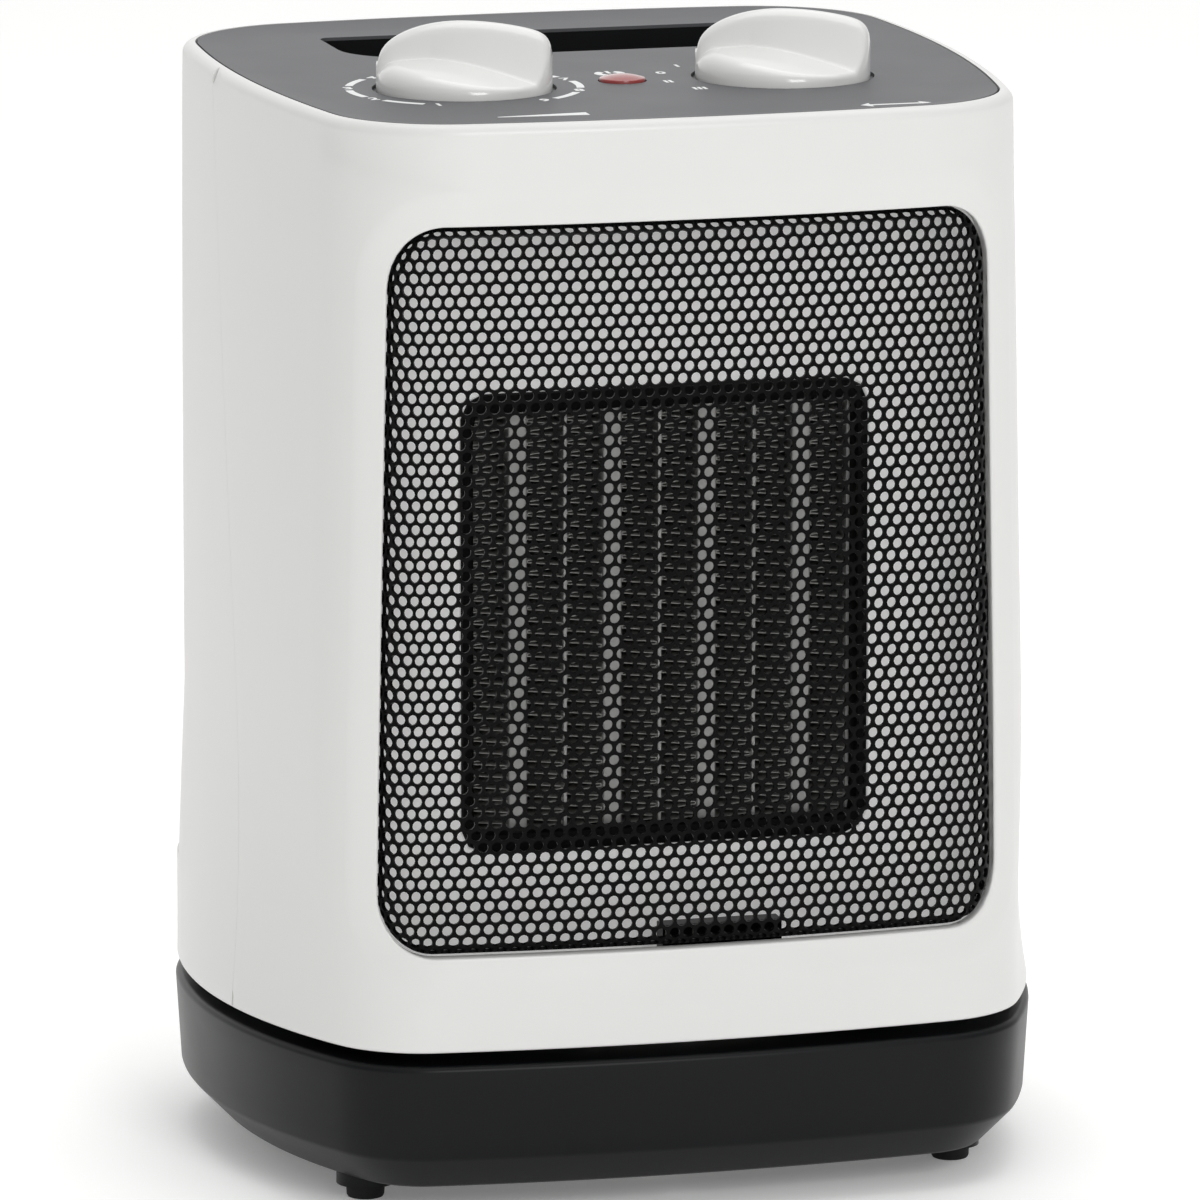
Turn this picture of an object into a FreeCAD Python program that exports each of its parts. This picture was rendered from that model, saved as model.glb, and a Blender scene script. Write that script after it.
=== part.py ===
"""Swinging ceramic space heater, built as separate pieces, one STEP file for each node.

Millimetres, +Z up, the warm-air grille faces -Y, origin on the table under the middle of the heater.
"""
import FreeCAD
import Part
import math
import os

V = FreeCAD.Vector
X_AXIS, Y_AXIS, Z_AXIS = V(1, 0, 0), V(0, 1, 0), V(0, 0, 1)

# Plan of the casing: four bowed sides joined by tangent corner arcs.
# Below FLARE_Z its sides spread and its corners open out, down to the foot of the body.
HALF_W_TOP, HALF_W_BOTTOM, HALF_W_FOOT = 83.9, 88.4, 93.5
HALF_DEPTH = 84.3
WIDEST_Y, WIDEST_Y_FOOT = 14.0, 0.0
BOW_SPAN = 80.0
FRONT_BOW, REAR_BOW = 6.9, 6.2
SIDE_BOW, SIDE_BOW_FOOT = 8.0, 23.5
FRONT_CORNER_R, FRONT_CORNER_FOOT = 29.5, 25.0
REAR_CORNER_R, REAR_CORNER_FOOT = 32.0, 70.0
FLARE_Z = 112.0
WALL = 2.8

# Levels
PLATE_Z, CHAMFER_Z, DECK_Z = 6.4, 14.1, 35.4
BODY_Z, RIM_Z = 38.3, 241.0
PANEL_Z = 240.2
KNOB_Z, KNOB_TOP = 239.4, 254.7

# Waist of the rear casing: a ledge at its foot, the narrowest level, and the level where it fades out
LEDGE_Z, LEDGE_DEPTH = 59.5, 5.0
WAIST_Z, WAIST_DEPTH = 100.0, 15.2
WAIST_END_Z = 233.0
SEAM_BOTTOM_Y, SEAM_TOP_Y = -26.0, 17.0

# Warm-air opening and its perforated pan
OPENING_LOW, OPENING_HIGH = 59.0, 219.0
OPENING_HALF_TOP, OPENING_HALF_BOTTOM = 67.8, 70.9
OPENING_R = 14.0
PAN_DEPTH, SHEET = 2.2, 0.8

# Heating element behind the window of the reflector
AIR_Z = 127.0
REFLECTOR_Y, REFLECTOR_RIM = -54.5, 4.5
FRAME_HALF_W, FRAME_HALF_H, FRAME_R = 45.9, 50.8, 5.6
FRAME_SIDE, FRAME_END = 2.6, 4.2
ELEMENT_Y, ELEMENT_DEPTH = -50.2, 14.0
BAR_PITCH, BAR_W, STRIP_T = 21.4, 4.3, 0.8
ELEMENT_HALF_H = 48.0

# Fan and motor, on one axis along Y
FAN_R, HUB_R, BLADES = 49.0, 14.0, 7
SHAFT_R = 2.5
RUNNING = 0.05

# Controls
KNOB_X, KNOB_Y, KNOB_R = 36.2, -20.5, 19.3
POINTER_DEG = 158.0
KNOB_SHAFT_R = 3.0
LAMP_Y, LENS_R = -19.0, 5.1
SLOT_HALF_W, SLOT_FRONT, SLOT_REAR, SLOT_R = 47.0, 26.5, 61.5, 7.0
WELL_Z = 212.0

# Swing drive: hollow spindle, and a crank whose roller runs in a slot of the base
SPINDLE_R, SPINDLE_BORE = 10.0, 7.5
SPINDLE_END_Z = 21.3
CRANK_Y, CRANK_R, ROLLER_R = 36.0, 20.8, 3.0
SLOT_PLAY = 0.8
FLOOR_Z, FLOOR_T = 40.3, 2.5

# Base fittings
FEET = [(-67.0, -50.7), (67.0, -50.7), (-57.0, 48.0), (57.0, 48.0)]
FOOT_R, FOOT_BOSS_R, FOOT_BOSS_Z = 4.45, 6.4, 3.2
BASE_SCREWS = [(-66.0, -14.0), (66.0, -14.0), (-66.0, 26.0), (66.0, 26.0), (0.0, -66.0)]
PLUNGER_X, PLUNGER_Y, PLUNGER_R = 0.0, -44.0, 4.5
SPRING_R, SPRING_WIRE_R, SPRING_PITCH = 5.6, 0.37, 2.2
FLOOR_SCREWS = [(-45.0, -76.2), (45.0, -76.2), (-45.0, 73.6), (45.0, 73.6)]
RETAINER_SCREW_R, RETAINER_SCREWS = 8.75, 3
INLET_X, INLET_Z, INLET_R = -42.0, 22.0, 6.5
INLET_Y0, INLET_Y1 = 72.5, 79.0


def box(x0, x1, y0, y1, z0, z1):
    return Part.makeBox(x1 - x0, y1 - y0, z1 - z0, V(x0, y0, z0))


def rod(x, y, z0, z1, r):
    """Upright cylinder."""
    return Part.makeCylinder(r, z1 - z0, V(x, y, z0))


def rod_y(x, z, y0, y1, r):
    """Cylinder along Y."""
    return Part.makeCylinder(r, y1 - y0, V(x, y0, z), Y_AXIS)


def tube(x, y, z0, z1, r_in, r_out):
    return rod(x, y, z0, z1, r_out).cut(rod(x, y, z0 - 1, z1 + 1, r_in))


def tube_y(x, z, y0, y1, r_in, r_out):
    return rod_y(x, z, y0, y1, r_out).cut(rod_y(x, z, y0 - 1, y1 + 1, r_in))


def group(shapes):
    """Separate solids kept together in one node."""
    return Part.makeCompound([s for shape in shapes for s in shape.Solids])


def circle_meet(c1, r1, c2, r2, toward):
    """Point where two circles meet, on the side of the vector toward."""
    line = c2.sub(c1)
    d = line.Length
    along = (r1 * r1 - r2 * r2 + d * d) / (2 * d)
    off = math.sqrt(r1 * r1 - along * along)
    unit = line.multiply(1 / d)
    across = V(-unit.y, unit.x, 0)
    points = [c1 + unit * along + across * off, c1 + unit * along - across * off]
    return max(points, key=lambda p: p.dot(toward))


def bow_radius(sagitta):
    """Radius of a side that bows by sagitta over the span."""
    return (BOW_SPAN ** 2 + sagitta ** 2) / (2 * sagitta)


def flared(z, upright, foot):
    """Size at height z, between its value on the upright part of the body and its value at the foot."""
    share = min(max((FLARE_Z - z) / (FLARE_Z - BODY_Z), 0.0), 1.0)
    return upright + (foot - upright) * share ** 2


def mirrored(point):
    """The point on the other side of the middle plane."""
    return V(-point.x, point.y, 0)


def pull(centre, point, radius):
    """Point at radius from centre, in the direction of point."""
    return centre + (point - centre).normalize() * radius


def plan(z, rear=HALF_DEPTH, inset=0.0):
    """Closed outline of the casing at height z, inset evenly from the outside."""
    half_w, widest = half_width(z), flared(z, WIDEST_Y, WIDEST_Y_FOOT)
    nose_r = flared(z, FRONT_CORNER_R, FRONT_CORNER_FOOT)
    heel_r = flared(z, REAR_CORNER_R, REAR_CORNER_FOOT)
    rf, rr = bow_radius(FRONT_BOW), bow_radius(REAR_BOW)
    rs = bow_radius(flared(z, SIDE_BOW, SIDE_BOW_FOOT))
    front, back, side = V(0, rf - HALF_DEPTH, 0), V(0, rear - rr, 0), V(half_w - rs, widest, 0)
    nose = circle_meet(front, rf - nose_r, side, rs - nose_r, V(1, -1, 0))
    heel = circle_meet(back, rr - heel_r, side, rs - heel_r, V(1, 1, 0))
    a, b = pull(front, nose, rf - inset), pull(side, nose, rs - inset)
    c, d = pull(side, heel, rs - inset), pull(back, heel, rr - inset)
    nose_mid = pull(nose, nose + V(1, -1, 0), nose_r - inset)
    heel_mid = pull(heel, heel + V(1, 1, 0), heel_r - inset)
    front_mid, back_mid = V(0, inset - HALF_DEPTH, 0), V(0, rear - inset, 0)
    side_mid = pull(side, b + c - side, rs - inset)
    right = [(a, nose_mid, b), (b, side_mid, c), (c, heel_mid, d)]
    left = [tuple(mirrored(p) for p in reversed(arc)) for arc in reversed(right)]
    arcs = [(mirrored(a), front_mid, a)] + right + [(d, back_mid, mirrored(d))] + left
    wire = Part.Wire([Part.Arc(*points).toShape() for points in arcs])
    wire.translate(V(0, 0, z))
    return wire


def half_width(z):
    """Half of the casing's width at height z. Below the body it stays as at the foot."""
    z = max(z, BODY_Z)
    straight = HALF_W_BOTTOM + (HALF_W_TOP - HALF_W_BOTTOM) * (z - BODY_Z) / (RIM_Z - BODY_Z)
    return straight + flared(z, 0.0, HALF_W_FOOT - HALF_W_BOTTOM)


def levels(low, high, count):
    """Evenly spaced heights from low to high."""
    return [low + (high - low) * i / count for i in range(count + 1)]


def casing(z0, z1, inset):
    """Solid of the casing without its waist."""
    heights = [z for z in levels(z0, FLARE_Z, 7) if z < z1 - 1.0]
    return Part.makeLoft([plan(z, inset=inset) for z in heights + [z1]], True, True)


def drawn_in(z):
    """How far the back lies inside the straight casing at height z."""
    z = max(z, LEDGE_Z)
    if z < WAIST_Z:
        away = (WAIST_Z - z) / (WAIST_Z - LEDGE_Z)
        return WAIST_DEPTH - (WAIST_DEPTH - LEDGE_DEPTH) * away ** 1.25
    away = min((z - WAIST_Z) / (WAIST_END_Z - WAIST_Z), 1.0)
    return WAIST_DEPTH * (1 - away) ** 1.1


def waisted(inset, low, high):
    """Solid of the casing with its waist, between two levels."""
    heights = levels(low, WAIST_Z, 5) + levels(WAIST_Z, WAIST_END_Z, 12)[1:] + [high]
    return Part.makeLoft([plan(z, HALF_DEPTH - drawn_in(z), inset) for z in heights], True, True)


def seam_y(z):
    """Where the joint between the two shells stands at height z."""
    return SEAM_BOTTOM_Y + (SEAM_TOP_Y - SEAM_BOTTOM_Y) * (z - BODY_Z) / (RIM_Z - BODY_Z)


def behind_seam():
    """Everything behind the slanted joint between the two shells."""
    low, high = BODY_Z - 20, RIM_Z + 20
    points = [V(-150, seam_y(low), low), V(-150, 150, low), V(-150, 150, high), V(-150, seam_y(high), high)]
    return Part.Face(Part.makePolygon(points + points[:1])).extrude(V(300, 0, 0))


def rounded(points, radius):
    """Closed wire through points with every corner rounded."""
    edges, count = [], len(points)
    ends = []
    for i, p in enumerate(points):
        before = (points[i - 1] - p).normalize()
        after = (points[(i + 1) % count] - p).normalize()
        half = before.getAngle(after) / 2
        reach = radius / math.tan(half)
        middle = p + (before + after).normalize() * (radius / math.sin(half) - radius)
        ends.append((p + before * reach, middle, p + after * reach))
    for i, (start, middle, end) in enumerate(ends):
        edges.append(Part.Arc(start, middle, end).toShape())
        edges.append(Part.LineSegment(end, ends[(i + 1) % count][0]).toShape())
    return Part.Wire(edges)


def opening(inset, y0, y1):
    """Prism of the warm-air opening, inset from its edge."""
    half_top, half_bottom = OPENING_HALF_TOP - inset, OPENING_HALF_BOTTOM - inset
    low, high = OPENING_LOW + inset, OPENING_HIGH - inset
    corners = [V(-half_bottom, y0, low), V(half_bottom, y0, low)]
    corners += [V(half_top, y0, high), V(-half_top, y0, high)]
    return Part.Face(rounded(corners, OPENING_R - inset)).extrude(V(0, y1 - y0, 0))


def rounded_block(half_w, y0, y1, z0, z1, radius):
    """Block along Y with rounded corners in the XZ plane."""
    corners = [V(-half_w, y0, z0), V(half_w, y0, z0), V(half_w, y0, z1), V(-half_w, y0, z1)]
    return Part.Face(rounded(corners, radius)).extrude(V(0, y1 - y0, 0))


def rounded_well(half_w, y0, y1, z0, z1, radius):
    """Upright block with rounded corners in the XY plane."""
    corners = [V(-half_w, y0, z0), V(half_w, y0, z0), V(half_w, y1, z0), V(-half_w, y1, z0)]
    return Part.Face(rounded(corners, radius)).extrude(V(0, 0, z1 - z0))


def front_drum(depth, z0, z1):
    """Upright cylinder that lies depth behind the bowed front face."""
    radius = bow_radius(FRONT_BOW)
    return rod(0, -HALF_DEPTH + radius, z0, z1, radius - depth)


# ---------------------------------------------------------------- casing

def front_shell():
    skin = casing(BODY_Z, RIM_Z, 0).cut(casing(BODY_Z - 1, RIM_Z + 1, WALL))
    skin = skin.cut(behind_seam()).cut(opening(0, -100, -60))
    for x, y in FLOOR_SCREWS[:2]:
        boss = tube(x, y, FLOOR_Z + FLOOR_T, 56.0, 1.45, 4.0)
        skin = skin.fuse(boss)
    return skin


def rear_shell():
    skin = casing(BODY_Z, LEDGE_Z, 0).fuse(waisted(0, LEDGE_Z, RIM_Z))
    inner = casing(BODY_Z - 1, LEDGE_Z - WALL, WALL).fuse(waisted(WALL, LEDGE_Z - WALL, RIM_Z + 1))
    skin = skin.cut(inner).common(behind_seam())
    for i in range(11):
        z = 112.0 + 8.4 * i
        skin = skin.cut(rounded_block(44.0, 40, 100, z, z + 4.2, 2.0))
    for x, y in FLOOR_SCREWS[2:]:
        skin = skin.fuse(tube(x, y, FLOOR_Z + FLOOR_T, 56.0, 1.45, 4.0))
    return skin


def head_floor():
    plate = Part.Face(plan(FLOOR_Z + FLOOR_T, inset=WALL + 1.0)).extrude(V(0, 0, -FLOOR_T))
    plate = plate.fuse(rod(0, 0, SPINDLE_END_Z, FLOOR_Z + 1, SPINDLE_R))
    plate = plate.fuse(tube(0, 0, 38.5, FLOOR_Z + 1, 62.0, 66.0))
    plate = plate.cut(rod(0, 0, 0, 60, SPINDLE_BORE))
    plate = plate.cut(rod(0, CRANK_Y, 30, 60, 5.0))
    for x, y in FLOOR_SCREWS:
        plate = plate.cut(rod(x, y, 30, 60, 1.5))
    for x, y in retainer_screw_places():
        plate = plate.cut(rod(x, y, SPINDLE_END_Z - 1, SPINDLE_END_Z + 5, 0.75))
    return plate


def retainer_screw_places():
    """Middles of the screws round the end of the spindle."""
    angles = [math.radians(360 * i / RETAINER_SCREWS + 90) for i in range(RETAINER_SCREWS)]
    return [(RETAINER_SCREW_R * math.cos(a), RETAINER_SCREW_R * math.sin(a)) for a in angles]


def screw(x, y, head_z, seat_z, end_z, head_r, shank_r):
    """Upright screw, its head below."""
    return rod(x, y, head_z, seat_z, head_r).fuse(rod(x, y, seat_z - 0.4, end_z, shank_r))


def floor_screws():
    return group([screw(x, y, 39.0, FLOOR_Z, 54.0, 2.8, 1.4) for x, y in FLOOR_SCREWS])


def spindle_retainer():
    ring = tube(0, 0, SPINDLE_END_Z - 3.0, SPINDLE_END_Z, SPINDLE_BORE, 16.0)
    for x, y in retainer_screw_places():
        ring = ring.cut(rod(x, y, 10, 30, 0.8))
    return ring


def retainer_screws():
    seat, end = SPINDLE_END_Z - 3.0, SPINDLE_END_Z + 4.0
    return group([screw(x, y, seat - 1.2, seat, end, 1.2, 0.7) for x, y in retainer_screw_places()])


def top_panel():
    def slab(z0, z1, inset):
        """Plate with the outline of the rim."""
        return Part.Face(plan(RIM_Z, inset=inset)).extrude(V(0, 0, z1 - z0)).translated(V(0, 0, z0 - RIM_Z))
    panel = slab(PANEL_Z - 3.2, PANEL_Z, WALL + 0.5)
    skirt = slab(PANEL_Z - 12, PANEL_Z - 3, WALL + 0.6).cut(slab(PANEL_Z - 13, PANEL_Z - 2, WALL + 2.4))
    panel = panel.fuse(skirt)
    panel = panel.cut(rounded_well(SLOT_HALF_W, SLOT_FRONT, SLOT_REAR, 220, 245, SLOT_R))
    panel = panel.cut(rod(0, LAMP_Y, 230, 245, LENS_R + 0.1))
    for x in (-KNOB_X, KNOB_X):
        panel = panel.cut(rod(x, KNOB_Y, KNOB_Z - 0.4, 245, KNOB_R + 0.7))
        panel = panel.cut(rod(x, KNOB_Y, 230, 245, KNOB_SHAFT_R + 1.0))
    return panel


def handle_well():
    top = PANEL_Z - 3.2
    tub = rounded_well(SLOT_HALF_W + 2.5, SLOT_FRONT - 2.5, SLOT_REAR + 2.5, WELL_Z, top, SLOT_R + 2.5)
    return tub.cut(rounded_well(SLOT_HALF_W, SLOT_FRONT, SLOT_REAR, WELL_Z + 2, top + 1, SLOT_R))


# ---------------------------------------------------------------- warm-air side

def front_grille():
    z0, z1 = OPENING_LOW - 5, OPENING_HIGH + 5
    sheet = front_drum(PAN_DEPTH, z0, z1).cut(front_drum(PAN_DEPTH + SHEET, z0 - 1, z1 + 1))
    face = sheet.common(opening(0.4, -100, -60))
    rim = opening(0.4, -79.0, -71.0).cut(opening(0.4 + SHEET, -80.0, -70.0))
    rim = rim.common(front_drum(PAN_DEPTH, z0, z1))
    skirt = opening(0.4, -90.0, -78.0).cut(opening(0.4 + SHEET, -91.0, -77.0))
    return face.fuse(rim).fuse(skirt.common(front_drum(PAN_DEPTH, z0, z1)))


def grille_retainers():
    """Clamps that hold the rim of the pan from behind, with legs that stand on the inside of the shell."""
    low, high, near, back = OPENING_LOW, OPENING_HIGH, -70.9, -66.0
    blocks = [box(-13, 15, near, back, high - 2.0, high + 7).fuse(box(-13, 15, -90, back, high + 3, high + 7))]
    blocks.append(box(-5, 22, near, back, low - 7, low + 2.5).fuse(box(-5, 22, -90, back, low - 7, low - 3)))
    for side in (-1, 1):
        inner, leg, outer = side * 68.0, side * 73.5, side * 80.0
        pad = box(min(inner, outer), max(inner, outer), near, back, 121, 136)
        blocks.append(pad.fuse(box(min(leg, outer), max(leg, outer), -90, back, 121, 136)))
    inside = casing(BODY_Z, RIM_Z, WALL + 0.02)
    return group([block.common(inside) for block in blocks])


def reflector_plate():
    plate = rounded_block(74.0, REFLECTOR_Y - REFLECTOR_RIM, REFLECTOR_Y + SHEET, 50.0, 229.0, 16.0)
    hollow = rounded_block(74.0 - SHEET, -70, REFLECTOR_Y, 50.0 + SHEET, 229.0 - SHEET, 16.0 - SHEET)
    plate = plate.cut(hollow)
    low, high = AIR_Z - FRAME_HALF_H, AIR_Z + FRAME_HALF_H
    return plate.cut(rounded_block(FRAME_HALF_W + 0.1, -60, -50, low - 0.1, high + 0.1, FRAME_R))


def heater_frame():
    low, high = AIR_Z - FRAME_HALF_H, AIR_Z + FRAME_HALF_H
    inner = FRAME_HALF_W - FRAME_SIDE
    frame = rounded_block(FRAME_HALF_W, REFLECTOR_Y - 0.8, -34.0, low, high, FRAME_R)
    mouth = rounded_block(inner, -60, -30, low + FRAME_END, high - FRAME_END, 1.5)
    pocket = rounded_block(inner, ELEMENT_Y - 0.2, -30, low + 1.5, high - 1.5, 1.0)
    return frame.cut(mouth).cut(pocket)


def element_x(i):
    """Middle of element layer i, counted in half pitches from the left edge strip."""
    return (i - 4) * BAR_PITCH / 2


def ptc_bars():
    low, high = AIR_Z - ELEMENT_HALF_H, AIR_Z + ELEMENT_HALF_H
    half = BAR_W / 2
    y0, y1 = ELEMENT_Y, ELEMENT_Y + ELEMENT_DEPTH
    return group([box(element_x(i) - half, element_x(i) + half, y0, y1, low, high) for i in (1, 3, 5, 7)])


def contact_strips():
    low, high = AIR_Z - ELEMENT_HALF_H, AIR_Z + ELEMENT_HALF_H
    half = STRIP_T / 2
    y0, y1 = ELEMENT_Y, ELEMENT_Y + ELEMENT_DEPTH
    return group([box(element_x(i) - half, element_x(i) + half, y0, y1, low, high) for i in (0, 2, 4, 6, 8)])


def fin_packs():
    low, high = AIR_Z - ELEMENT_HALF_H + 0.2, AIR_Z + ELEMENT_HALF_H - 0.2
    packs = []
    for i in (1, 3, 5, 7):
        for side in (-1, 1):
            near = element_x(i) + side * (BAR_W / 2 + 0.02)
            far = element_x(i) + side * (BAR_PITCH / 2 - STRIP_T / 2 - 0.02)
            packs.append(box(min(near, far), max(near, far), ELEMENT_Y + 0.5, ELEMENT_Y + 13.5, low, high))
    return group(packs)


def heater_terminals():
    """Two blade terminals on the back edge of the outer contact strips."""
    low = AIR_Z - ELEMENT_HALF_H + 8.0
    y0 = ELEMENT_Y + ELEMENT_DEPTH + 0.02
    return group([box(x - 0.4, x + 0.4, y0, y0 + 12, low, low + 6.3) for x in (element_x(0), element_x(8))])


def fan_shroud():
    low, high = AIR_Z - 58, AIR_Z + 58
    duct = box(-58, 58, -33.8, -12, low, high).cut(box(-56, 56, -31.8, -14, low + 2, high - 2))
    duct = duct.cut(rounded_block(FRAME_HALF_W - 1.4, -40, -31, AIR_Z - 49, AIR_Z + 49, 3.0))
    duct = duct.cut(rod_y(0, AIR_Z, -20, 0, FAN_R + 2.5))
    return duct.fuse(tube_y(0, AIR_Z, -13, 12, FAN_R + 2.5, FAN_R + 4.5))


def thermal_cutout():
    return rod_y(-47, AIR_Z + 47, -11.9, -4, 7.0)


def thermal_fuse():
    fuse = Part.makeCylinder(2.0, 16, V(34, -9.8, AIR_Z + 48), X_AXIS)
    return fuse.fuse(Part.makeCylinder(0.5, 26, V(29, -9.8, AIR_Z + 48), X_AXIS))


def fan_wheel():
    wheel = rod_y(0, AIR_Z, -7, 7, HUB_R).cut(rod_y(0, AIR_Z, -4, 8, HUB_R - 2))
    wheel = wheel.fuse(rod_y(0, AIR_Z, -7, 7, 5.0))
    blade = fan_blade()
    for i in range(BLADES):
        turned = blade.copy()
        turned.rotate(V(0, 0, AIR_Z), Y_AXIS, 360.0 * i / BLADES)
        wheel = wheel.fuse(turned)
    wheel = wheel.common(rod_y(0, AIR_Z, -20, 20, FAN_R))
    return wheel.cut(rod_y(0, AIR_Z, -20, 20, SHAFT_R + 0.02))


def fan_blade():
    """Twisted blade that leans less at the tip than at the hub."""
    wires = []
    for radius, lean, chord in ((HUB_R - 1.0, 46.0, 16.0), (32.0, 34.0, 30.0), (FAN_R, 26.0, 36.0)):
        rise = math.radians(lean)
        along = V(math.cos(rise), math.sin(rise), 0) * (chord / 2)
        thick = V(-math.sin(rise), math.cos(rise), 0) * 0.8
        centre = V(0, 0, AIR_Z + radius)
        corners = [centre - along - thick, centre + along - thick]
        corners += [centre + along + thick, centre - along + thick]
        wires.append(Part.makePolygon(corners + corners[:1]))
    return Part.makeLoft(wires, True, True)


def fan_shaft():
    return rod_y(0, AIR_Z, -7, 53, SHAFT_R)


def motor_rotor():
    return tube_y(0, AIR_Z, 27, 45, SHAFT_R + 0.02, 12.7)


def motor_stator():
    """Stack of laminations with a round bore and a window for the coil."""
    stack = box(-26, 26, 28, 44, AIR_Z - 36, AIR_Z + 20)
    stack = stack.cut(rod_y(0, AIR_Z, 20, 50, 13.2))
    return stack.cut(box(-17, 17, 20, 50, AIR_Z - 27, AIR_Z - 16))


def motor_coil():
    coil = box(-14, 14, 22, 50, AIR_Z - 42, AIR_Z - 16.5)
    return coil.cut(box(-20, 20, 27.8, 44.2, AIR_Z - 36.2, AIR_Z - 26.8))


def bearing_brackets():
    """Cast bracket in front of and behind the stack, each with a bush for the shaft."""
    brackets = []
    for y0, y1 in ((20.0, 24.0), (48.0, 52.0)):
        bar = box(-24, 24, y0, y1, AIR_Z - 7, AIR_Z + 7).fuse(rod_y(0, AIR_Z, y0, y1, 9.0))
        near = 27.9 if y0 < 30 else 44.1
        for x in (-21.0, 21.0):
            bar = bar.fuse(rod_y(x, AIR_Z, min(y0, near), max(y1, near), 3.0))
        brackets.append(bar.cut(rod_y(0, AIR_Z, 0, 60, SHAFT_R + RUNNING)))
    return group(brackets)


def motor_mount():
    """Bridge across the shroud that carries the motor on two posts."""
    bridge = box(-62, 62, 16.5, 19.9, AIR_Z - 9, AIR_Z + 9).cut(rod_y(0, AIR_Z, 10, 30, 8.0))
    for x in (-57.0, 57.0):
        bridge = bridge.fuse(box(x - 1.2, x + 1.2, -11.9, 19.9, AIR_Z - 9, AIR_Z + 9))
    return bridge


def mount_screws():
    """Heads of the two screws that hold the motor on its bridge."""
    return group([rod_y(x, AIR_Z, 14.5, 16.4, 3.0) for x in (-21.0, 21.0)])


def dust_filter():
    """Framed filter panel that covers the slots from inside."""
    panel = box(-47, 47, 0, 2.0, 0, 92)
    panel.rotate(V(0, 0, 0), X_AXIS, -8.0)
    panel.translate(V(0, 60.5, 107.0))
    return panel


# ---------------------------------------------------------------- controls

def knob(x):
    """Round skirt with a domed grip across it."""
    skirt = rod(0, 0, KNOB_Z, KNOB_Z + 3.0, KNOB_R)
    grip = rounded_well(18.4, -6.0, 6.0, KNOB_Z, KNOB_TOP, 5.0)
    dome_r = 26.0
    grip = grip.common(Part.makeSphere(dome_r, V(0, 0, KNOB_TOP - dome_r)))
    body = skirt.fuse(grip).cut(rod(0, 0, KNOB_Z - 1, KNOB_Z + 9, KNOB_SHAFT_R + 0.02))
    body.rotate(V(0, 0, 0), Z_AXIS, POINTER_DEG - 180.0)
    body.translate(V(x, KNOB_Y, 0))
    return body


def knob_shaft(x):
    return rod(x, KNOB_Y, 218.0, KNOB_Z + 8.8, KNOB_SHAFT_R)


def thermostat_knob():
    return knob(-KNOB_X)


def thermostat_shaft():
    return knob_shaft(-KNOB_X)


def mode_knob():
    return knob(KNOB_X)


def mode_shaft():
    return knob_shaft(KNOB_X)


def control_body(x, half_w, depth, z0):
    """Switch or thermostat under the panel, with a collar and a running bore for its shaft."""
    body = box(x - half_w, x + half_w, KNOB_Y - depth / 2, KNOB_Y + depth / 2, z0, 231.0)
    body = body.fuse(rod(x, KNOB_Y, 230.0, PANEL_Z - 3.3, 6.0))
    return body.cut(rod(x, KNOB_Y, 217.5, 240, KNOB_SHAFT_R + RUNNING))


def mode_switch():
    body = control_body(KNOB_X, 15.0, 30.0, 212.0)
    for dx in (-9, 0, 9):
        body = body.fuse(box(KNOB_X + dx - 2.4, KNOB_X + dx + 2.4, KNOB_Y - 0.4, KNOB_Y + 0.4, 204.0, 213.0))
    return body


def thermostat():
    body = control_body(-KNOB_X, 11.0, 26.0, 214.0)
    return body.fuse(box(-KNOB_X - 6, -KNOB_X + 6, KNOB_Y - 30, KNOB_Y, 216.0, 217.2))


def pilot_lens():
    dome = Part.makeSphere(9.0, V(0, LAMP_Y, PANEL_Z + 1.3 - 9.0))
    barrel = rod(0, LAMP_Y, 230, PANEL_Z - 0.4, LENS_R)
    return rod(0, LAMP_Y, PANEL_Z - 3.0, PANEL_Z + 1.4, LENS_R).common(dome.fuse(barrel))


def pilot_lamp():
    return rod(0, LAMP_Y, 222.0, PANEL_Z - 3.4, 3.0)


# ---------------------------------------------------------------- base

def base_solid():
    """Outside of the base, filled."""
    sections = [(PLATE_Z, -8.6), (CHAMFER_Z, -0.9), (DECK_Z - 1.2, 0.4), (DECK_Z, -0.7)]
    return Part.makeLoft([plan(z, inset=-out) for z, out in sections], True, True)


def base_shell():
    sections = [(PLATE_Z - 0.5, 11.4), (CHAMFER_Z + 0.6, 3.5), (DECK_Z - 3.0, 2.4)]
    cavity = Part.makeLoft([plan(z, inset=inset) for z, inset in sections], True, True)
    shell = base_solid().cut(cavity)
    shell = shell.fuse(tube(0, 0, 24.0, DECK_Z - 1, 13.1, 17.0))
    shell = shell.cut(rod(0, 0, 20, 40, 13.1))
    y0, y1 = slot_span()
    shell = shell.cut(slot_block(y0, y1, ROLLER_R + SLOT_PLAY + 2.0, 28, 40))
    for x, y in BASE_SCREWS:
        shell = shell.fuse(tube(x, y, 10.0, DECK_Z - 2.5, 1.45, 4.0))
    return shell.cut(rod_y(INLET_X, INLET_Z, 60, 100, INLET_R + 0.1))


def base_plate():
    plate = Part.Face(plan(6.9, inset=12.0)).extrude(V(0, 0, 2.5))
    plate = plate.cut(rod(PLUNGER_X, PLUNGER_Y, 0, 20, PLUNGER_R + 0.5))
    for x, y in BASE_SCREWS:
        plate = plate.cut(rod(x, y, 0, 20, 1.6))
    for x, y in FEET:
        boss = rod(x, y, FOOT_BOSS_Z, PLATE_Z - 0.05, FOOT_BOSS_R).fuse(rod(x, y, PLATE_Z - 1.0, 7.0, 4.0))
        plate = plate.fuse(boss).cut(rod(x, y, 0, 4.4, FOOT_R + 0.05)).cut(rod(x, y, 0, 20, 2.05))
    return plate


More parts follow.
